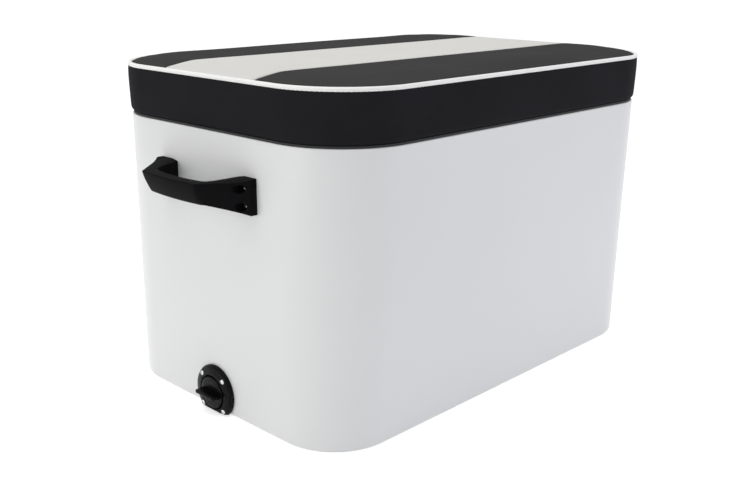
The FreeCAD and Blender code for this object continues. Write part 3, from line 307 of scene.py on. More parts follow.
def handle_corner(y, outer, height, share):
    """A corner of a cross-section in the wall's directions; height runs from 0 to 1."""
    across = abs(y)
    slope = max((across - KINK_HIGH) / (HANDLE_HALF - KINK_HIGH), 0)
    climb = slope ** 8 if outer else min(max((across - KINK_HIGH) / (FOOT_FLAT - KINK_HIGH), 0), 1)
    top = GRIP_TOP + (FOOT_HALF - GRIP_TOP) * climb
    bottom = GRIP_BOTTOM - (FOOT_HALF + GRIP_BOTTOM) * slope
    z = bottom + (top - bottom) * height
    rise = (z + FOOT_HALF) / (2 * FOOT_HALF)
    reach = REACH_LOW + (REACH_HIGH - REACH_LOW) * rise + SWELLING * 4 * rise * (1 - rise)
    if outer:
        kink = KINK_LOW + (KINK_HIGH - KINK_LOW) * rise
        if across > kink - 0.01:
            x = FOOT_END + (reach - FOOT_END) * (HANDLE_HALF - across) / (HANDLE_HALF - kink)
        else:
            x = reach + GRIP_BOW * (1 - (across / kink) ** 2)
    else:
        bow = GRIP_BOW * (1 - min(across / GAP_TURN, 1) ** 2)
        x = (reach - GRIP_THICKNESS) * share + bow
    return Vector((x * MM, y * MM, z * MM))


nylon = new_material("nylon_glass_filled_moulded")
place = add(nylon, "TexCoord", {}).outputs["Object"]
# The real texture is near 0.15 mm; it is drawn at 0.6 mm so that it shows.
spark = add(nylon, "TexNoise", {"Vector": place, "Scale": 1 / (0.6 * MM), "Detail": 2})
wear = add(nylon, "TexNoise", {"Vector": place, "Scale": 1 / (30 * MM), "Detail": 3})
shade = add(nylon, "Mix", {
    "Factor": wear.outputs["Fac"], "A": linear("08080A"), "B": linear("0E0E10"),
}, data_type="RGBA")
dulling = add(nylon, "MapRange", {"Value": spark.outputs["Fac"], "To Min": 0.6, "To Max": 0.76})
relief = add(nylon, "Bump", {"Height": spark.outputs["Fac"], "Strength": 0.25, "Distance": 0.12 * MM})
coat = add(nylon, "BsdfPrincipled", {
    "Base Color": shade.outputs["Result"], "Roughness": dulling.outputs["Result"],
    "Normal": relief.outputs["Normal"], "Specular IOR Level": 0.05,
})
add(nylon, "OutputMaterial", {"Surface": coat.outputs["BSDF"]})

handle_screw_points = [(a, u) for a in (-SCREW_ACROSS, SCREW_ACROSS) for u in (-SCREW_UP, SCREW_UP)]
sections = STATIONS + [(0, 0, 1)] + [(-a, -b, share) for a, b, share in reversed(STATIONS)]
for label, side in (("left", -1), ("right", 1)):
    bm = bmesh.new()
    faces = []
    for outer_y, inner_y, share in sections:
        outer = [bm.verts.new(handle_corner(outer_y, True, step / 4, share)) for step in range(5)]
        inner = [bm.verts.new(handle_corner(inner_y, False, height, share)) for height in (1, 0)]
        bm.faces.new(outer + inner)
        soft = GRIP_ROUND if share > 0.3 else FOOT_ROUND
        round_corners(bm, [outer[0], outer[-1]], soft, 4)
        faces.append(round_corners(bm, inner, soft if share > 0.3 else 0.3, 4))
    loops = [list(face.edges) for face in faces]
    bmesh.ops.delete(bm, geom=faces[1:-1], context="FACES_ONLY")
    for low, high in zip(loops, loops[1:]):
        bmesh.ops.bridge_loops(bm, edges=low + high)
    bmesh.ops.recalc_face_normals(bm, faces=bm.faces)
    creases = [e for e in bm.edges if e.is_manifold and e.calc_face_angle() > math.radians(33)]
    bmesh.ops.bevel(
        bm, geom=creases, offset=0.5 * MM, segments=2, profile=0.5, affect="EDGES", material=-1,
        clamp_overlap=True,
    )
    wall = end_wall(side, HANDLE_HEIGHT)
    bmesh.ops.transform(bm, matrix=wall, verts=bm.verts)
    handle = new_piece("grip_" + label, bm, nylon)
    for across, up in handle_screw_points:
        bm = bmesh.new()
        rod(bm, RECESS, 40, wall @ Matrix.Translation((SCREW_SEAT * MM, across * MM, up * MM)), 24)
        carve(handle, new_piece("recess", bm))
    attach(handle, "box")
    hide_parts("end_handle_" + label)

# ---- Handle and drain screws -------------------------------------------------
# Pan-head stainless screws with a cross recess, cold-headed and then polished. The handles'
# go through the wall to washers and nuts; the drain's bite into the pad behind it.
# Each screw: head radius and height, shank radius, length under the head, and tip length.
GRIP_SCREW, FLANGE_SCREW = (4, 2.6, 2, 18, 0.5), (2.9, 2, 1.8, 14, 2.5)
polished = new_material("stainless_steel_polished")
place = add(polished, "TexCoord", {}).outputs["Object"]
scuffs = add(polished, "TexNoise", {"Vector": place, "Scale": 1 / (1.5 * MM), "Detail": 4})
dulling = add(polished, "MapRange", {"Value": scuffs.outputs["Fac"], "To Min": 0.12, "To Max": 0.3})
relief = add(polished, "Bump", {"Height": scuffs.outputs["Fac"], "Strength": 0.1, "Distance": 0.05 * MM})
coat = add(polished, "BsdfPrincipled", {
    "Base Color": linear("C4C5C6"), "Metallic": 1.0, "Roughness": dulling.outputs["Result"],
    "Normal": relief.outputs["Normal"],
})
add(polished, "OutputMaterial", {"Surface": coat.outputs["BSDF"]})


def turned(bm, profile, sides=32):
    """Spins a line of (radius, height) points in millimetres about Z."""
    points = [bm.verts.new((radius * MM, 0, height * MM)) for radius, height in profile]
    edges = [bm.edges.new(pair) for pair in zip(points, points[1:])]
    bmesh.ops.spin(
        bm, geom=points + edges, cent=(0, 0, 0), axis=(0, 0, 1), angle=math.tau, steps=sides,
        use_merge=True,
    )
    bmesh.ops.remove_doubles(bm, verts=bm.verts, dist=0.00001)


def pan_screws(name, sizes, places):
    """Alike screws in one piece: domed heads with a cross recess, seats at Z = 0."""
    head, height, shank, length, tip = sizes
    bm = bmesh.new()
    turned(bm, [
        (0, height), (0.3 * head, 0.97 * height), (0.6 * head, 0.84 * height), (0.84 * head, 0.58 * height),
        (0.96 * head, 0.28 * height), (head, 0.1 * height), (0.97 * head, 0), (shank, 0),
        (shank, tip - length), (0.3 * shank, -length), (0, -length),
    ], 24)
    master = new_piece(name, bm, polished)
    for turn in (0, 90):
        bm = bmesh.new()
        size = Matrix.Diagonal((1.15 * head * MM, 0.24 * head * MM, height * MM, 1))
        place = Matrix.Translation((0, 0, height * MM)) @ Matrix.Rotation(math.radians(turn), 4, "Z") @ size
        bmesh.ops.create_cube(bm, size=1, matrix=place)
        carve(master, new_piece("cross", bm))
    bm = bmesh.new()
    for place in places:
        before = set(bm.verts)
        bm.from_mesh(master.data)
        bmesh.ops.transform(bm, matrix=place, verts=[v for v in bm.verts if v not in before])
    bpy.data.objects.remove(master)
    return new_piece(name, bm, polished)


out_of_wall = Matrix.Rotation(math.pi / 2, 4, "Y")
for label, side in (("left", -1), ("right", 1)):
    wall = end_wall(side, HANDLE_HEIGHT)
    places = []
    for turn, (across, up) in enumerate(handle_screw_points):
        seat = Matrix.Translation((SCREW_SEAT * MM, across * MM, up * MM))
        places.append(wall @ seat @ out_of_wall @ Matrix.Rotation(0.5 + turn, 4, "Z"))
    screws = pan_screws("grip_screws_" + label, GRIP_SCREW, places)
    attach(screws, "box")
    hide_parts("handle_%s_screws" % label)

# ---- Drain -------------------------------------------------------------------
# A flange socket and a winged plug, both injection-moulded in glossy black acetal. The flange
# is a low dome with a flat lower edge, so that it sits close to the floor, and the plug
# screws into it on an O-ring.
DRAIN_RADIUS, DRAIN_FLAT, BORE, BARREL, BARREL_LENGTH = 29.3, 20, 10, 12.5, 22
GASKET, EDGE, SHOULDER, DOME, RING, RING_DEPTH = 1, 2.2, 4.6, 6, 18.8, 4.8
CAP_RADIUS, CAP_LOW, CAP_HIGH = 17.6, 4.45, 7.65
WING_LENGTH, WING_TIP, WING_HEIGHT, WING_THICKNESS = 33, 29, 10.5, 3.4
DRAIN_SCREW, SCREW_POCKET = 16.75, 3.1
axes = Matrix(((0, 0, 1, 0), (1, 0, 0, 0), (0, 1, 0, 0), (0, 0, 0, 1)))
drain_place = end_wall(-1, DRAIN_HEIGHT) @ axes

acetal = new_material("acetal_black_moulded")
place = add(acetal, "TexCoord", {}).outputs["Object"]
flow = add(acetal, "TexNoise", {"Vector": place, "Scale": 1 / (6 * MM), "Detail": 3})
shade = add(acetal, "Mix", {
    "Factor": flow.outputs["Fac"], "A": linear("060607"), "B": linear("0B0B0D"),
}, data_type="RGBA")
dulling = add(acetal, "MapRange", {"Value": flow.outputs["Fac"], "To Min": 0.2, "To Max": 0.34})
relief = add(acetal, "Bump", {"Height": flow.outputs["Fac"], "Strength": 0.12, "Distance": 0.1 * MM})
coat = add(acetal, "BsdfPrincipled", {
    "Base Color": shade.outputs["Result"], "Roughness": dulling.outputs["Result"],
    "Normal": relief.outputs["Normal"], "Specular IOR Level": 0.08,
})
add(acetal, "OutputMaterial", {"Surface": coat.outputs["BSDF"]})

bm = bmesh.new()
turned(bm, [
    (BORE, -BARREL_LENGTH), (BARREL, -BARREL_LENGTH), (BARREL, GASKET), (DRAIN_RADIUS, GASKET),
    (DRAIN_RADIUS, GASKET + EDGE - 0.5), (DRAIN_RADIUS - 0.4, GASKET + EDGE + 0.2),
    (DRAIN_RADIUS - 1.8, GASKET + SHOULDER - 0.3), (DRAIN_RADIUS - 2.6, GASKET + SHOULDER),
    (25, GASKET + 5), (22.8, GASKET + 5.6), (RING + 2, GASKET + DOME - 0.05), (RING + 0.7, GASKET + DOME),
    (RING, GASKET + DOME - 0.6), (RING, GASKET + DOME - RING_DEPTH + 0.4),
    (RING - 0.4, GASKET + DOME - RING_DEPTH), (BORE, GASKET + DOME - RING_DEPTH), (BORE, -BARREL_LENGTH),
], 96)
# The flat, and then the slanted cut that breaks its upper edge.
for low, level, slant in ((DRAIN_FLAT, 0, 0), (DRAIN_FLAT - 0.5, GASKET + DOME, 1)):
    bmesh.ops.bisect_plane(
        bm, geom=bm.verts[:] + bm.edges[:] + bm.faces[:], plane_co=(0, -low * MM, level * MM),
        plane_no=(0, -1, slant), clear_outer=True,
    )
    bmesh.ops.holes_fill(bm, edges=[edge for edge in bm.edges if edge.is_boundary])
bmesh.ops.recalc_face_normals(bm, faces=bm.faces)
bmesh.ops.transform(bm, matrix=drain_place, verts=bm.verts)
socket = new_piece("drain_flange", bm, acetal)
drain_screw_points = [(a, u) for a in (-DRAIN_SCREW, DRAIN_SCREW) for u in (-DRAIN_SCREW, DRAIN_SCREW)]
for across, up in drain_screw_points:
    bm = bmesh.new()
    seat = drain_place @ Matrix.Translation((across * MM, up * MM, (GASKET + SHOULDER) * MM))
    rod(bm, SCREW_POCKET, 10, seat @ axes.transposed(), 24)
    carve(socket, new_piece("seat", bm))
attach(socket, "box")
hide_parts("drain_socket")

places = []
for turn, (across, up) in enumerate(drain_screw_points):
    seat = Matrix.Translation((across * MM, up * MM, (GASKET + SHOULDER) * MM))
    places.append(drain_place @ seat @ Matrix.Rotation(0.3 + turn, 4, "Z"))
screws = pan_screws("flange_screws", FLANGE_SCREW, places)
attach(screws, "box")
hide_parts("drain_screws")

bm = bmesh.new()
turned(bm, [
    (0, CAP_LOW - 18), (BORE - 1.24, CAP_LOW - 18), (BORE - 0.04, CAP_LOW - 16.8), (BORE - 0.04, CAP_LOW),
    (CAP_RADIUS, CAP_LOW), (CAP_RADIUS, CAP_HIGH - 1.2), (CAP_RADIUS - 0.35, CAP_HIGH - 0.35),
    (CAP_RADIUS - 1.2, CAP_HIGH), (CAP_RADIUS - 4, CAP_HIGH + 0.1), (0, CAP_HIGH + 0.1),
], 64)
plug = new_piece("plug", bm, acetal)
bm = bmesh.new()
root, tip = CAP_HIGH - 0.5, CAP_HIGH - 0.5 + WING_HEIGHT
outline = [
    (-WING_LENGTH / 2, root), (WING_LENGTH / 2, root), (WING_TIP / 2 + 1.5, tip - 1.5), (WING_TIP / 2, tip),
    (-WING_TIP / 2, tip), (-WING_TIP / 2 - 1.5, tip - 1.5),
]
face = bm.faces.new([bm.verts.new((x * MM, -WING_THICKNESS / 2 * MM, z * MM)) for x, z in outline])
pushed = bmesh.ops.extrude_face_region(bm, geom=[face])["geom"]
far = [v for v in pushed if isinstance(v, bmesh.types.BMVert)]
bmesh.ops.translate(bm, vec=(0, WING_THICKNESS * MM, 0), verts=far)
bmesh.ops.bevel(bm, geom=bm.edges, offset=0.9 * MM, segments=3, profile=0.5, affect="EDGES", material=-1)
carve(plug, new_piece("wing", bm), "UNION")
plug.data.transform(drain_place)
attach(plug, "plug")
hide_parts("drain_plug")

# ---- Lid board ---------------------------------------------------------------
# Twelve-millimetre marine plywood, cut to the seat's outline. Its face grain runs along the
# seat, and the plies show as bands on its edge.
plywood = new_material("plywood_marine")
place = add(plywood, "TexCoord", {}).outputs["Object"]
stretched = add(plywood, "Mapping", {"Vector": place, "Scale": (0.06, 1, 1)})
grain = add(plywood, "TexNoise", {"Vector": stretched.outputs["Vector"], "Scale": 1 / (3 * MM), "Detail": 6})
plies = add(plywood, "TexWave", {"Vector": place, "Scale": 1 / (20 * 2 * MM)}, bands_direction="Z")
tone = add(plywood, "Mix", {
    "Factor": grain.outputs["Fac"], "A": linear("9A7148"), "B": linear("C49A68"),
}, data_type="RGBA")
shade = add(plywood, "Mix", {
    "Factor": plies.outputs["Fac"], "A": tone.outputs["Result"], "B": linear("A67B4E"),
}, data_type="RGBA")
relief = add(plywood, "Bump", {"Height": grain.outputs["Fac"], "Strength": 0.2, "Distance": 0.2 * MM})
coat = add(plywood, "BsdfPrincipled", {
    "Base Color": shade.outputs["Result"], "Roughness": 0.65, "Normal": relief.outputs["Normal"],
})
add(plywood, "OutputMaterial", {"Surface": coat.outputs["BSDF"]})
finish_node("lid_board", plywood)

# ---- Seat foam ---------------------------------------------------------------
# A slab of firm polyurethane foam, shaped and glued on the board. The cover is pulled tight
# over it, so it crowns a little and swells between the seams; the swelling is simulated.
SEAT_LENGTH, SEAT_WIDTH, SEAT_CORNER = 550, 380, 86
LID_UNDERSIDE, SEAM, BOARD_TOP = 302, 352, 315.5
BAND_TUCK, BAND_ROLL, SEAM_INSET, COVER = 1.5, 5, 1.5, 1.2
CROWN_RISE, CROWN_START = 7.5, 2.5
CROWN = [
    (0, 0), (1.2, 0.17), (2.6, 0.31), (4, 0.42), (7.5, 0.57), (12, 0.70), (20, 0.81), (32, 0.89), (50, 0.94),
    (70, 0.97), (118, 1.0), (160, 1.0),
]


def seat_outline(inset, level, crowned=False):
    """The seat's plan drawn in; on the crown the corners shrink in step with the width."""
    corner = SEAT_CORNER * (1 - inset / (SEAT_WIDTH / 2)) if crowned else SEAT_CORNER - inset
    return SEAT_LENGTH - 2 * inset, SEAT_WIDTH - 2 * inset, corner, level


def swell(piece, pinned, pressure, limit, frames=20):
    """Blows a closed piece up as cloth, with some points held, and caps how far a point moves."""
    scene = bpy.context.scene
    start = [v.co.copy() for v in piece.data.vertices]
    held = piece.vertex_groups.new(name="held")
    held.add([v.index for v in piece.data.vertices if pinned(v.co)], 1.0, "REPLACE")
    cloth = piece.modifiers.new("swell", "CLOTH")
    cloth.settings.vertex_group_mass = "held"
    cloth.settings.use_pressure = True
    cloth.settings.uniform_pressure_force = pressure
    cloth.settings.effector_weights.gravity = 0
    for step in range(1, frames + 1):
        scene.frame_set(step)
    settle(piece, 60)
    scene.frame_set(1)
    piece.vertex_groups.clear()
    for vertex, home in zip(piece.data.vertices, start):
        move = vertex.co - home
        if move.length > limit:
            vertex.co = home + move * limit / move.length


foam = new_material("polyurethane_foam_cut")
place = add(foam, "TexCoord", {}).outputs["Object"]
cells = add(foam, "TexVoronoi", {"Vector": place, "Scale": 1 / (1.2 * MM)})
shade = add(foam, "Mix", {
    "Factor": cells.outputs["Distance"], "A": linear("D8D0B8"), "B": linear("EFE9D6"),
}, data_type="RGBA")
relief = add(foam, "Bump", {"Height": cells.outputs["Distance"], "Strength": 0.5, "Distance": 0.3 * MM})
coat = add(foam, "BsdfPrincipled", {
    "Base Color": shade.outputs["Result"], "Roughness": 0.9, "Normal": relief.outputs["Normal"],
})
add(foam, "OutputMaterial", {"Surface": coat.outputs["BSDF"]})

# The crown starts lower by SWELL, full at SWELL_REACH from the edge, and blows up by as much.
SWELL, SWELL_REACH = 1.2, 118
GLUE_LINE, SEAM_HOLD, SEAM_REACH = 6, 3.4, 7
bm = bmesh.new()
form = [seat_outline(BAND_TUCK + 3, BOARD_TOP + 0.5), seat_outline(BAND_TUCK, BOARD_TOP + 4)]
form += [seat_outline(0.4, (BOARD_TOP + SEAM) / 2), seat_outline(SEAM_INSET, SEAM)]
for inset, share in CROWN:
    lower = SWELL * min(inset / SWELL_REACH, 1)
    form.append(seat_outline(CROWN_START + inset, SEAM + CROWN_RISE * share - lower, True))
loft(bm, form, steps=20)
pad = new_piece("seat_foam", bm, foam, smooth_below=60)
remesh = pad.modifiers.new("even", "REMESH")
remesh.mode, remesh.voxel_size = "VOXEL", 5 * MM
settle(pad, 60)


def edge_distance(point):
    """How far a point is inside the seat's outline, in millimetres."""
    x = abs(point.x) / MM - SEAT_LENGTH / 2 + SEAT_CORNER
    y = abs(point.y) / MM - SEAT_WIDTH / 2 + SEAT_CORNER
    if x > 0 and y > 0:
        return SEAT_CORNER - math.hypot(x, y)
    return SEAT_CORNER - max(x, y)


def pinned_point(point):
    """The glued underside, and the line of the seam."""
    glued = point.z < (BOARD_TOP + GLUE_LINE) * MM
    beside_seam = abs(point.z - SEAM * MM) < SEAM_HOLD * MM and edge_distance(point) <= SEAM_REACH
    return glued or beside_seam


swell(pad, pinned_point, 4, SWELL * MM)
finer = pad.modifiers.new("finer", "SUBSURF")
finer.levels = finer.render_levels = 1
settle(pad, 60)

# ---- Seat cover --------------------------------------------------------------
# PVC-coated fabric with a pebble grain, cut as a side band and three top panels: black,
# off-white and black. They are sewn edge to edge, and the band is pulled down round the
# board and stapled underneath.
STRIPE, SEAM_DIP, SEAM_SPREAD, COVER_RETURN = 140, 2.2, 1.6, 31


def vinyl(name, dark, pale, roughness, shine):
    """PVC-coated fabric: rounded pebbles near 1.4 mm with fine creases between them."""
    made = new_material(name)
    place = add(made, "TexCoord", {}).outputs["Object"]
    pebbles = add(made, "TexVoronoi", {"Vector": place, "Scale": 1 / (1.4 * MM)}, feature="SMOOTH_F1")
    creases = add(made, "TexNoise", {"Vector": place, "Scale": 1 / (3.2 * MM), "Detail": 4})
    drift = add(made, "TexNoise", {"Vector": place, "Scale": 1 / (70 * MM), "Detail": 3})
    height = add(made, "Math", {
        0: creases.outputs["Fac"], 1: pebbles.outputs["Distance"],
    }, operation="SUBTRACT")
    shade = add(made, "Mix", {
        "Factor": drift.outputs["Fac"], "A": linear(dark), "B": linear(pale),
    }, data_type="RGBA")
    dulling = add(made, "MapRange", {
        "Value": pebbles.outputs["Distance"], "To Min": roughness - 0.04, "To Max": roughness + 0.1,
    })
    relief = add(made, "Bump", {"Height": height.outputs[0], "Strength": 0.35, "Distance": 0.12 * MM})
    coat = add(made, "BsdfPrincipled", {
        "Base Color": shade.outputs["Result"], "Roughness": dulling.outputs["Result"],
        "Normal": relief.outputs["Normal"], "Specular IOR Level": shine,
    })
    add(made, "OutputMaterial", {"Surface": coat.outputs["BSDF"]})
    return made


# The top's black is painted lighter than the band's. This painted sheen stands for the sky light its top
# reflects, and its own shine is set nearly to nil. It is also duller than the band's, which is pulled tight.
sheen_painted_top_vinyl = vinyl("pvc_coated_fabric_black", "3F3F3F", "4B4A4A", 0.85, 0.005)
band_vinyl = vinyl("pvc_coated_fabric_black_tight", "1C1C1E", "26262A", 0.8, 0.05)
white_vinyl = vinyl("pvc_coated_fabric_off_white", "DEDDD9", "E4E3DF", 0.7, 0.1)


def thicken(piece):
    """Gives a sheet its thickness inward and settles it."""
    wall = piece.modifiers.new("thickness", "SOLIDIFY")
    wall.thickness, wall.offset = COVER * MM, -1
    settle(piece, 60)


half = STRIPE / 2
for label, material, slot, low, high in (
    ("front", sheen_painted_top_vinyl, "vinyl_black", -SEAT_WIDTH, -half),
    ("centre", white_vinyl, "vinyl_white", -half, half),
    ("rear", sheen_painted_top_vinyl, "vinyl_black", half, SEAT_WIDTH),
):
    bm = bmesh.new()
    bm.from_mesh(pad.data)
    everything = bm.verts[:] + bm.edges[:] + bm.faces[:]
    bmesh.ops.bisect_plane(
        bm, geom=everything, plane_co=(0, 0, (SEAM + 0.2) * MM), plane_no=(0, 0, -1), clear_outer=True,
    )
    for seam_y, outward in ((low, -1), (high, 1)):
        if abs(seam_y) != half:
            continue
        for inset in (0, 0.7, 1.5, 2.6, 4.2):
            everything = bm.verts[:] + bm.edges[:] + bm.faces[:]
            bmesh.ops.bisect_plane(
                bm, geom=everything, plane_co=(0, (seam_y - outward * inset) * MM, 0),
                plane_no=(0, outward, 0), clear_outer=inset == 0,
            )
    for vertex in bm.verts:
        from_seam = min(abs(vertex.co.y / MM - seam_y) for seam_y in (low, high) if abs(seam_y) == half)
        vertex.co.z -= SEAM_DIP * MM * math.exp(-(from_seam / SEAM_SPREAD) ** 2)
    panel = new_piece("seat_top_" + label, bm, material, smooth_below=60)
    thicken(panel)
    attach(panel, "lid")
    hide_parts("top_panel_" + label)

# The foam itself sits inside the cover by a little more than the cover's thickness.
bm = bmesh.new()
bm.from_mesh(pad.data)
bm.normal_update()
for vertex in bm.verts:
    vertex.co -= vertex.normal * (COVER + 0.5) * MM
bpy.data.objects.remove(pad)
pad = new_piece("seat_foam", bm, foam, smooth_below=60)
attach(pad, "lid")
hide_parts("cushion_foam")

BAND_PROFILE = [
    (1.3, 309), (0.95, 318), (0.55, 330), (0.35, 340), (0.45, 346), (0.9, 350), (SEAM_INSET, SEAM),
]
bm = bmesh.new()
wraps = [seat_outline(COVER_RETURN, LID_UNDERSIDE), seat_outline(COVER_RETURN * 0.6, LID_UNDERSIDE)]
for turn in range(0, 79, 13):
    angle = math.radians(turn)
    tucked = BAND_TUCK + BAND_ROLL * (1 - math.sin(angle))
    wraps.append(seat_outline(tucked, LID_UNDERSIDE + BAND_ROLL * (1 - math.cos(angle))))
# Above the roll the band is pulled nearly straight, and tucks in again at the seam.
for inset, level in BAND_PROFILE:
    wraps.append(seat_outline(inset, level))
loft(bm, wraps, steps=20)
caps = [face for face in bm.faces if len(face.verts) > 4]
bmesh.ops.delete(bm, geom=caps, context="FACES_ONLY")
band = new_piece("seat_band", bm, band_vinyl, smooth_below=60)
thicken(band)
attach(band, "lid")
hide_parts("side_band")

# ---- Piping and its stitches -------------------------------------------------
# A cord wrapped in smooth white PVC and sewn into the seam between the band and the top.
# The stitches are bonded black polyester thread, one every 4.6 mm along its lower side.
PIPING_RADIUS, PIPING_INSET, STITCH_PITCH = 2.4, 2.4, 4.6
piping_vinyl = new_material("pvc_piping_smooth_white")
place = add(piping_vinyl, "TexCoord", {}).outputs["Object"]
puckers = add(piping_vinyl, "TexNoise", {"Vector": place, "Scale": 1 / (4 * MM), "Detail": 3})
shade = add(piping_vinyl, "Mix", {
    "Factor": puckers.outputs["Fac"], "A": linear("F8F8F6"), "B": linear("FFFFFE"),
}, data_type="RGBA")
relief = add(piping_vinyl, "Bump", {
    "Height": puckers.outputs["Fac"], "Strength": 0.25, "Distance": 0.3 * MM,
})
coat = add(piping_vinyl, "BsdfPrincipled", {
    "Base Color": shade.outputs["Result"], "Roughness": 0.42, "Normal": relief.outputs["Normal"],
})
add(piping_vinyl, "OutputMaterial", {"Surface": coat.outputs["BSDF"]})
bm = bmesh.new()
round_cord = []
for turn in range(0, 360, 30):
    angle = math.radians(turn)
    inset = PIPING_INSET - PIPING_RADIUS * math.cos(angle)
    round_cord.append(seat_outline(inset, SEAM + PIPING_RADIUS * math.sin(angle)))
loft(bm, round_cord, steps=24, ring=True)
piping = new_piece("seat_piping", bm, piping_vinyl, smooth_below=60)
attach(piping, "lid")
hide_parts("top_piping")

thread = new_material("polyester_thread_bonded")
place = add(thread, "TexCoord", {}).outputs["Object"]
twist = add(thread, "TexNoise", {"Vector": place, "Scale": 1 / (0.4 * MM)})
shade = add(thread, "Mix", {
    "Factor": twist.outputs["Fac"], "A": linear("101011"), "B": linear("26262A"),
}, data_type="RGBA")
coat = add(thread, "BsdfPrincipled", {"Base Color": shade.outputs["Result"], "Roughness": 0.6})
add(thread, "OutputMaterial", {"Surface": coat.outputs["BSDF"]})


def along_outline(inset, pitch):
    """Even places round the seat's plan: X and Y in millimetres, and the way along."""
    half_x, half_y, corner = SEAT_LENGTH / 2 - inset, SEAT_WIDTH / 2 - inset, SEAT_CORNER - inset
    run_x, run_y, arc = 2 * (half_x - corner), 2 * (half_y - corner), corner * math.pi / 2
    total = 2 * (run_x + run_y) + 4 * arc
    count = round(total / pitch)
    quarters = [(half_x - corner, -half_y, 0, run_x), (half_x, half_y - corner, 90, run_y)]
    quarters += [(-x, -y, turn + 180, run) for x, y, turn, run in quarters]
    places = []
    for index in range(count):
        way = total * index / count
        for end_x, end_y, turn, run in quarters:
            heading = math.radians(turn)
            ahead = Vector((math.cos(heading), math.sin(heading)))
            if way < run:
                places.append((Vector((end_x, end_y)) - ahead * (run - way), heading))
                break
            way -= run
            if way < arc:
                swing = way / corner
                left = Vector((-ahead.y, ahead.x))
                centre = Vector((end_x, end_y)) + left * corner
                places.append((centre + ahead * corner * math.sin(swing) - left * corner * math.cos(swing),
                               heading + swing))
                break
            way -= arc
    return places


STITCH, STITCH_ANGLE = (2.7, 0.5, 0.8), 52
bm = bmesh.new()
down = math.radians(STITCH_ANGLE)
stitch_inset = PIPING_INSET - PIPING_RADIUS * math.cos(down)
for point, heading in along_outline(stitch_inset, STITCH_PITCH):
    place = Matrix.Translation((point.x * MM, point.y * MM, (SEAM - PIPING_RADIUS * math.sin(down)) * MM))
    size = Matrix.Diagonal([side * MM for side in STITCH] + [1])
    place = place @ Matrix.Rotation(heading, 4, "Z") @ Matrix.Rotation(-down, 4, "X") @ size
    bmesh.ops.create_cube(bm, size=1, matrix=place)
bmesh.ops.bevel(bm, geom=bm.edges, offset=0.2 * MM, segments=1, profile=0.5, affect="EDGES", material=-1)
stitches = new_piece("seam_stitches", bm, thread, smooth_below=60)
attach(stitches, "lid")

# ---- Lining sheet ------------------------------------------------------------
# Two-millimetre white polystyrene sheet with a matt haircell grain, screwed over the cover's
# turned edge on the underside of the lid.
liner = new_material("polystyrene_sheet_haircell")
place = add(liner, "TexCoord", {}).outputs["Object"]
haircell = add(liner, "TexVoronoi", {"Vector": place, "Scale": 1 / (1.6 * MM)})
drift = add(liner, "TexNoise", {"Vector": place, "Scale": 1 / (90 * MM)})
shade = add(liner, "Mix", {
    "Factor": drift.outputs["Fac"], "A": linear("DADBDA"), "B": linear("E4E5E4"),
}, data_type="RGBA")
relief = add(liner, "Bump", {"Height": haircell.outputs["Distance"], "Strength": 0.3, "Distance": 0.1 * MM})
coat = add(liner, "BsdfPrincipled", {
    "Base Color": shade.outputs["Result"], "Roughness": 0.6, "Normal": relief.outputs["Normal"],
})
add(liner, "OutputMaterial", {"Surface": coat.outputs["BSDF"]})
finish_node("lid_liner", liner)

# ---- Studio ------------------------------------------------------------------
# A pale floor, a plain bright surround and three large soft lamps: one over the seat and one
# facing each side that the photograph shows.
SURROUND, BACKGROUND, FLOOR_LIFT = 0.43, 1.0, 0.6


def seen_directly(owner):
    """One for rays from the camera, a mirror or through glass, which see a white background."""
    ray = add(owner, "LightPath", {})
    either = add(owner, "Math", {
        0: ray.outputs["Is Camera Ray"], 1: ray.outputs["Is Glossy Ray"],
    }, operation="MAXIMUM")
    return add(owner, "Math", {
        0: either.outputs[0], 1: ray.outputs["Is Transmission Ray"],
    }, operation="MAXIMUM").outputs[0]


floor_material = new_material("studio_floor_matt")
place = add(floor_material, "TexCoord", {}).outputs["Object"]
dust = add(floor_material, "TexNoise", {"Vector": place, "Scale": 1 / (300 * MM)})
shade = add(floor_material, "Mix", {
    "Factor": dust.outputs["Fac"], "A": linear("FDFDFD"), "B": linear("FFFFFF"),
}, data_type="RGBA")
coat = add(floor_material, "BsdfDiffuse", {"Color": shade.outputs["Result"]})
seen = seen_directly(floor_material)
lift = add(floor_material, "Math", {0: seen, 1: FLOOR_LIFT}, operation="MULTIPLY")
glow = add(floor_material, "Emission", {"Color": (1, 1, 1, 1), "Strength": lift.outputs[0]})
both = add(floor_material, "AddShader", {0: coat.outputs["BSDF"], 1: glow.outputs["Emission"]})
add(floor_material, "OutputMaterial", {"Surface": both.outputs["Shader"]})
bm = bmesh.new()
bmesh.ops.create_grid(bm, x_segments=4, y_segments=4, size=6)
floor = new_piece("studio_floor", bm, floor_material)

world = bpy.data.worlds.new("studio")
bpy.context.scene.world = world
world.use_nodes = True
world.node_tree.nodes.clear()
level = add(world, "MapRange", {"Value": seen_directly(world), "To Min": SURROUND, "To Max": BACKGROUND})
sky = add(world, "Background", {"Color": (1, 1, 1, 1), "Strength": level.outputs["Result"]})
add(world, "OutputWorld", {"Surface": sky.outputs["Background"]})

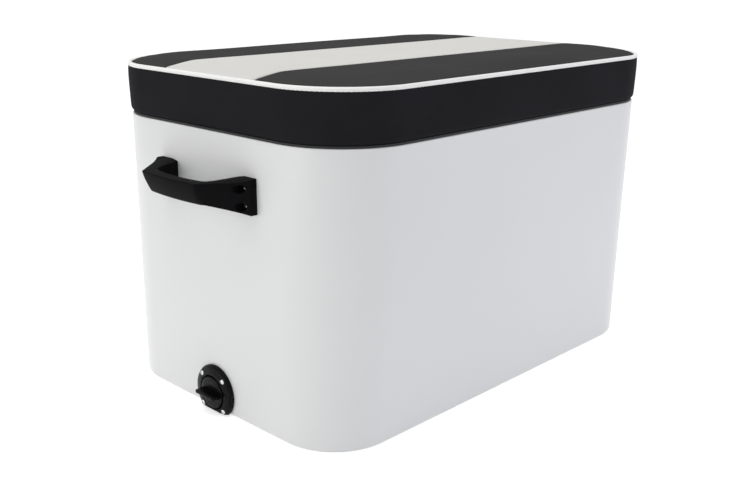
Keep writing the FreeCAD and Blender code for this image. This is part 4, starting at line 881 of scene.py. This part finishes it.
# Each lamp: name, place in metres, width and height in metres, power in watts, and colour.
LAMPS = [
    ("over_seat", (-0.2, 0.1, 2.3), 2.2, 1.8, 21, "FFFFFF"),
    ("left_side", (-2.4, 0.5, 0.7), 1.8, 1.2, 13, "FFFEFA"),
    ("right_side", (1.4, -2.2, 0.7), 1.8, 1.2, 11, "F0F2FF"),
]
for name, spot, width, height, power, tint in LAMPS:
    light = bpy.data.lights.new(name, "AREA")
    light.shape, light.size, light.size_y, light.energy = "RECTANGLE", width, height, power
    light.color = linear(tint)[:3]
    lamp = bpy.data.objects.new(name, light)
    aim = Vector((0, 0, 0.2)) - Vector(spot)
    lamp.matrix_world = Matrix.Translation(spot) @ aim.to_track_quat("-Z", "Y").to_matrix().to_4x4()
    bpy.context.scene.collection.objects.link(lamp)

# The camera stands where the photograph was taken from: angles in degrees, distances in mm.
FOCAL_PIXELS, PHOTO_WIDTH, SENSOR = 974.583, 730, 36
AZIMUTH, ELEVATION, ROLL = -45.729, 16.383, 0.394
DISTANCE, SIDEWAYS, UPWARDS, AIM_HEIGHT = 1172.476, -34.536, -44.992, 175
turn, tilt, roll = math.radians(AZIMUTH), math.radians(ELEVATION), math.radians(ROLL)
back = Vector((math.sin(turn) * math.cos(tilt), -math.cos(turn) * math.cos(tilt), math.sin(tilt)))
right = Vector((math.cos(turn), math.sin(turn), 0))
up = back.cross(right)
right, up = right * math.cos(roll) + up * math.sin(roll), up * math.cos(roll) - right * math.sin(roll)
spot = (Vector((0, 0, AIM_HEIGHT)) + back * DISTANCE + right * SIDEWAYS + up * UPWARDS) * MM
lens = bpy.data.cameras.new("photograph")
lens.sensor_width, lens.sensor_fit = SENSOR, "HORIZONTAL"
lens.lens = FOCAL_PIXELS / PHOTO_WIDTH * SENSOR
lens.clip_start, lens.clip_end = 0.01, 50
camera = bpy.data.objects.new("photograph", lens)
camera.matrix_world = Matrix.Translation(spot) @ Matrix((right, up, back)).transposed().to_4x4()
bpy.context.scene.collection.objects.link(camera)
bpy.context.scene.camera = camera
bpy.context.scene.view_settings.view_transform = "Standard"
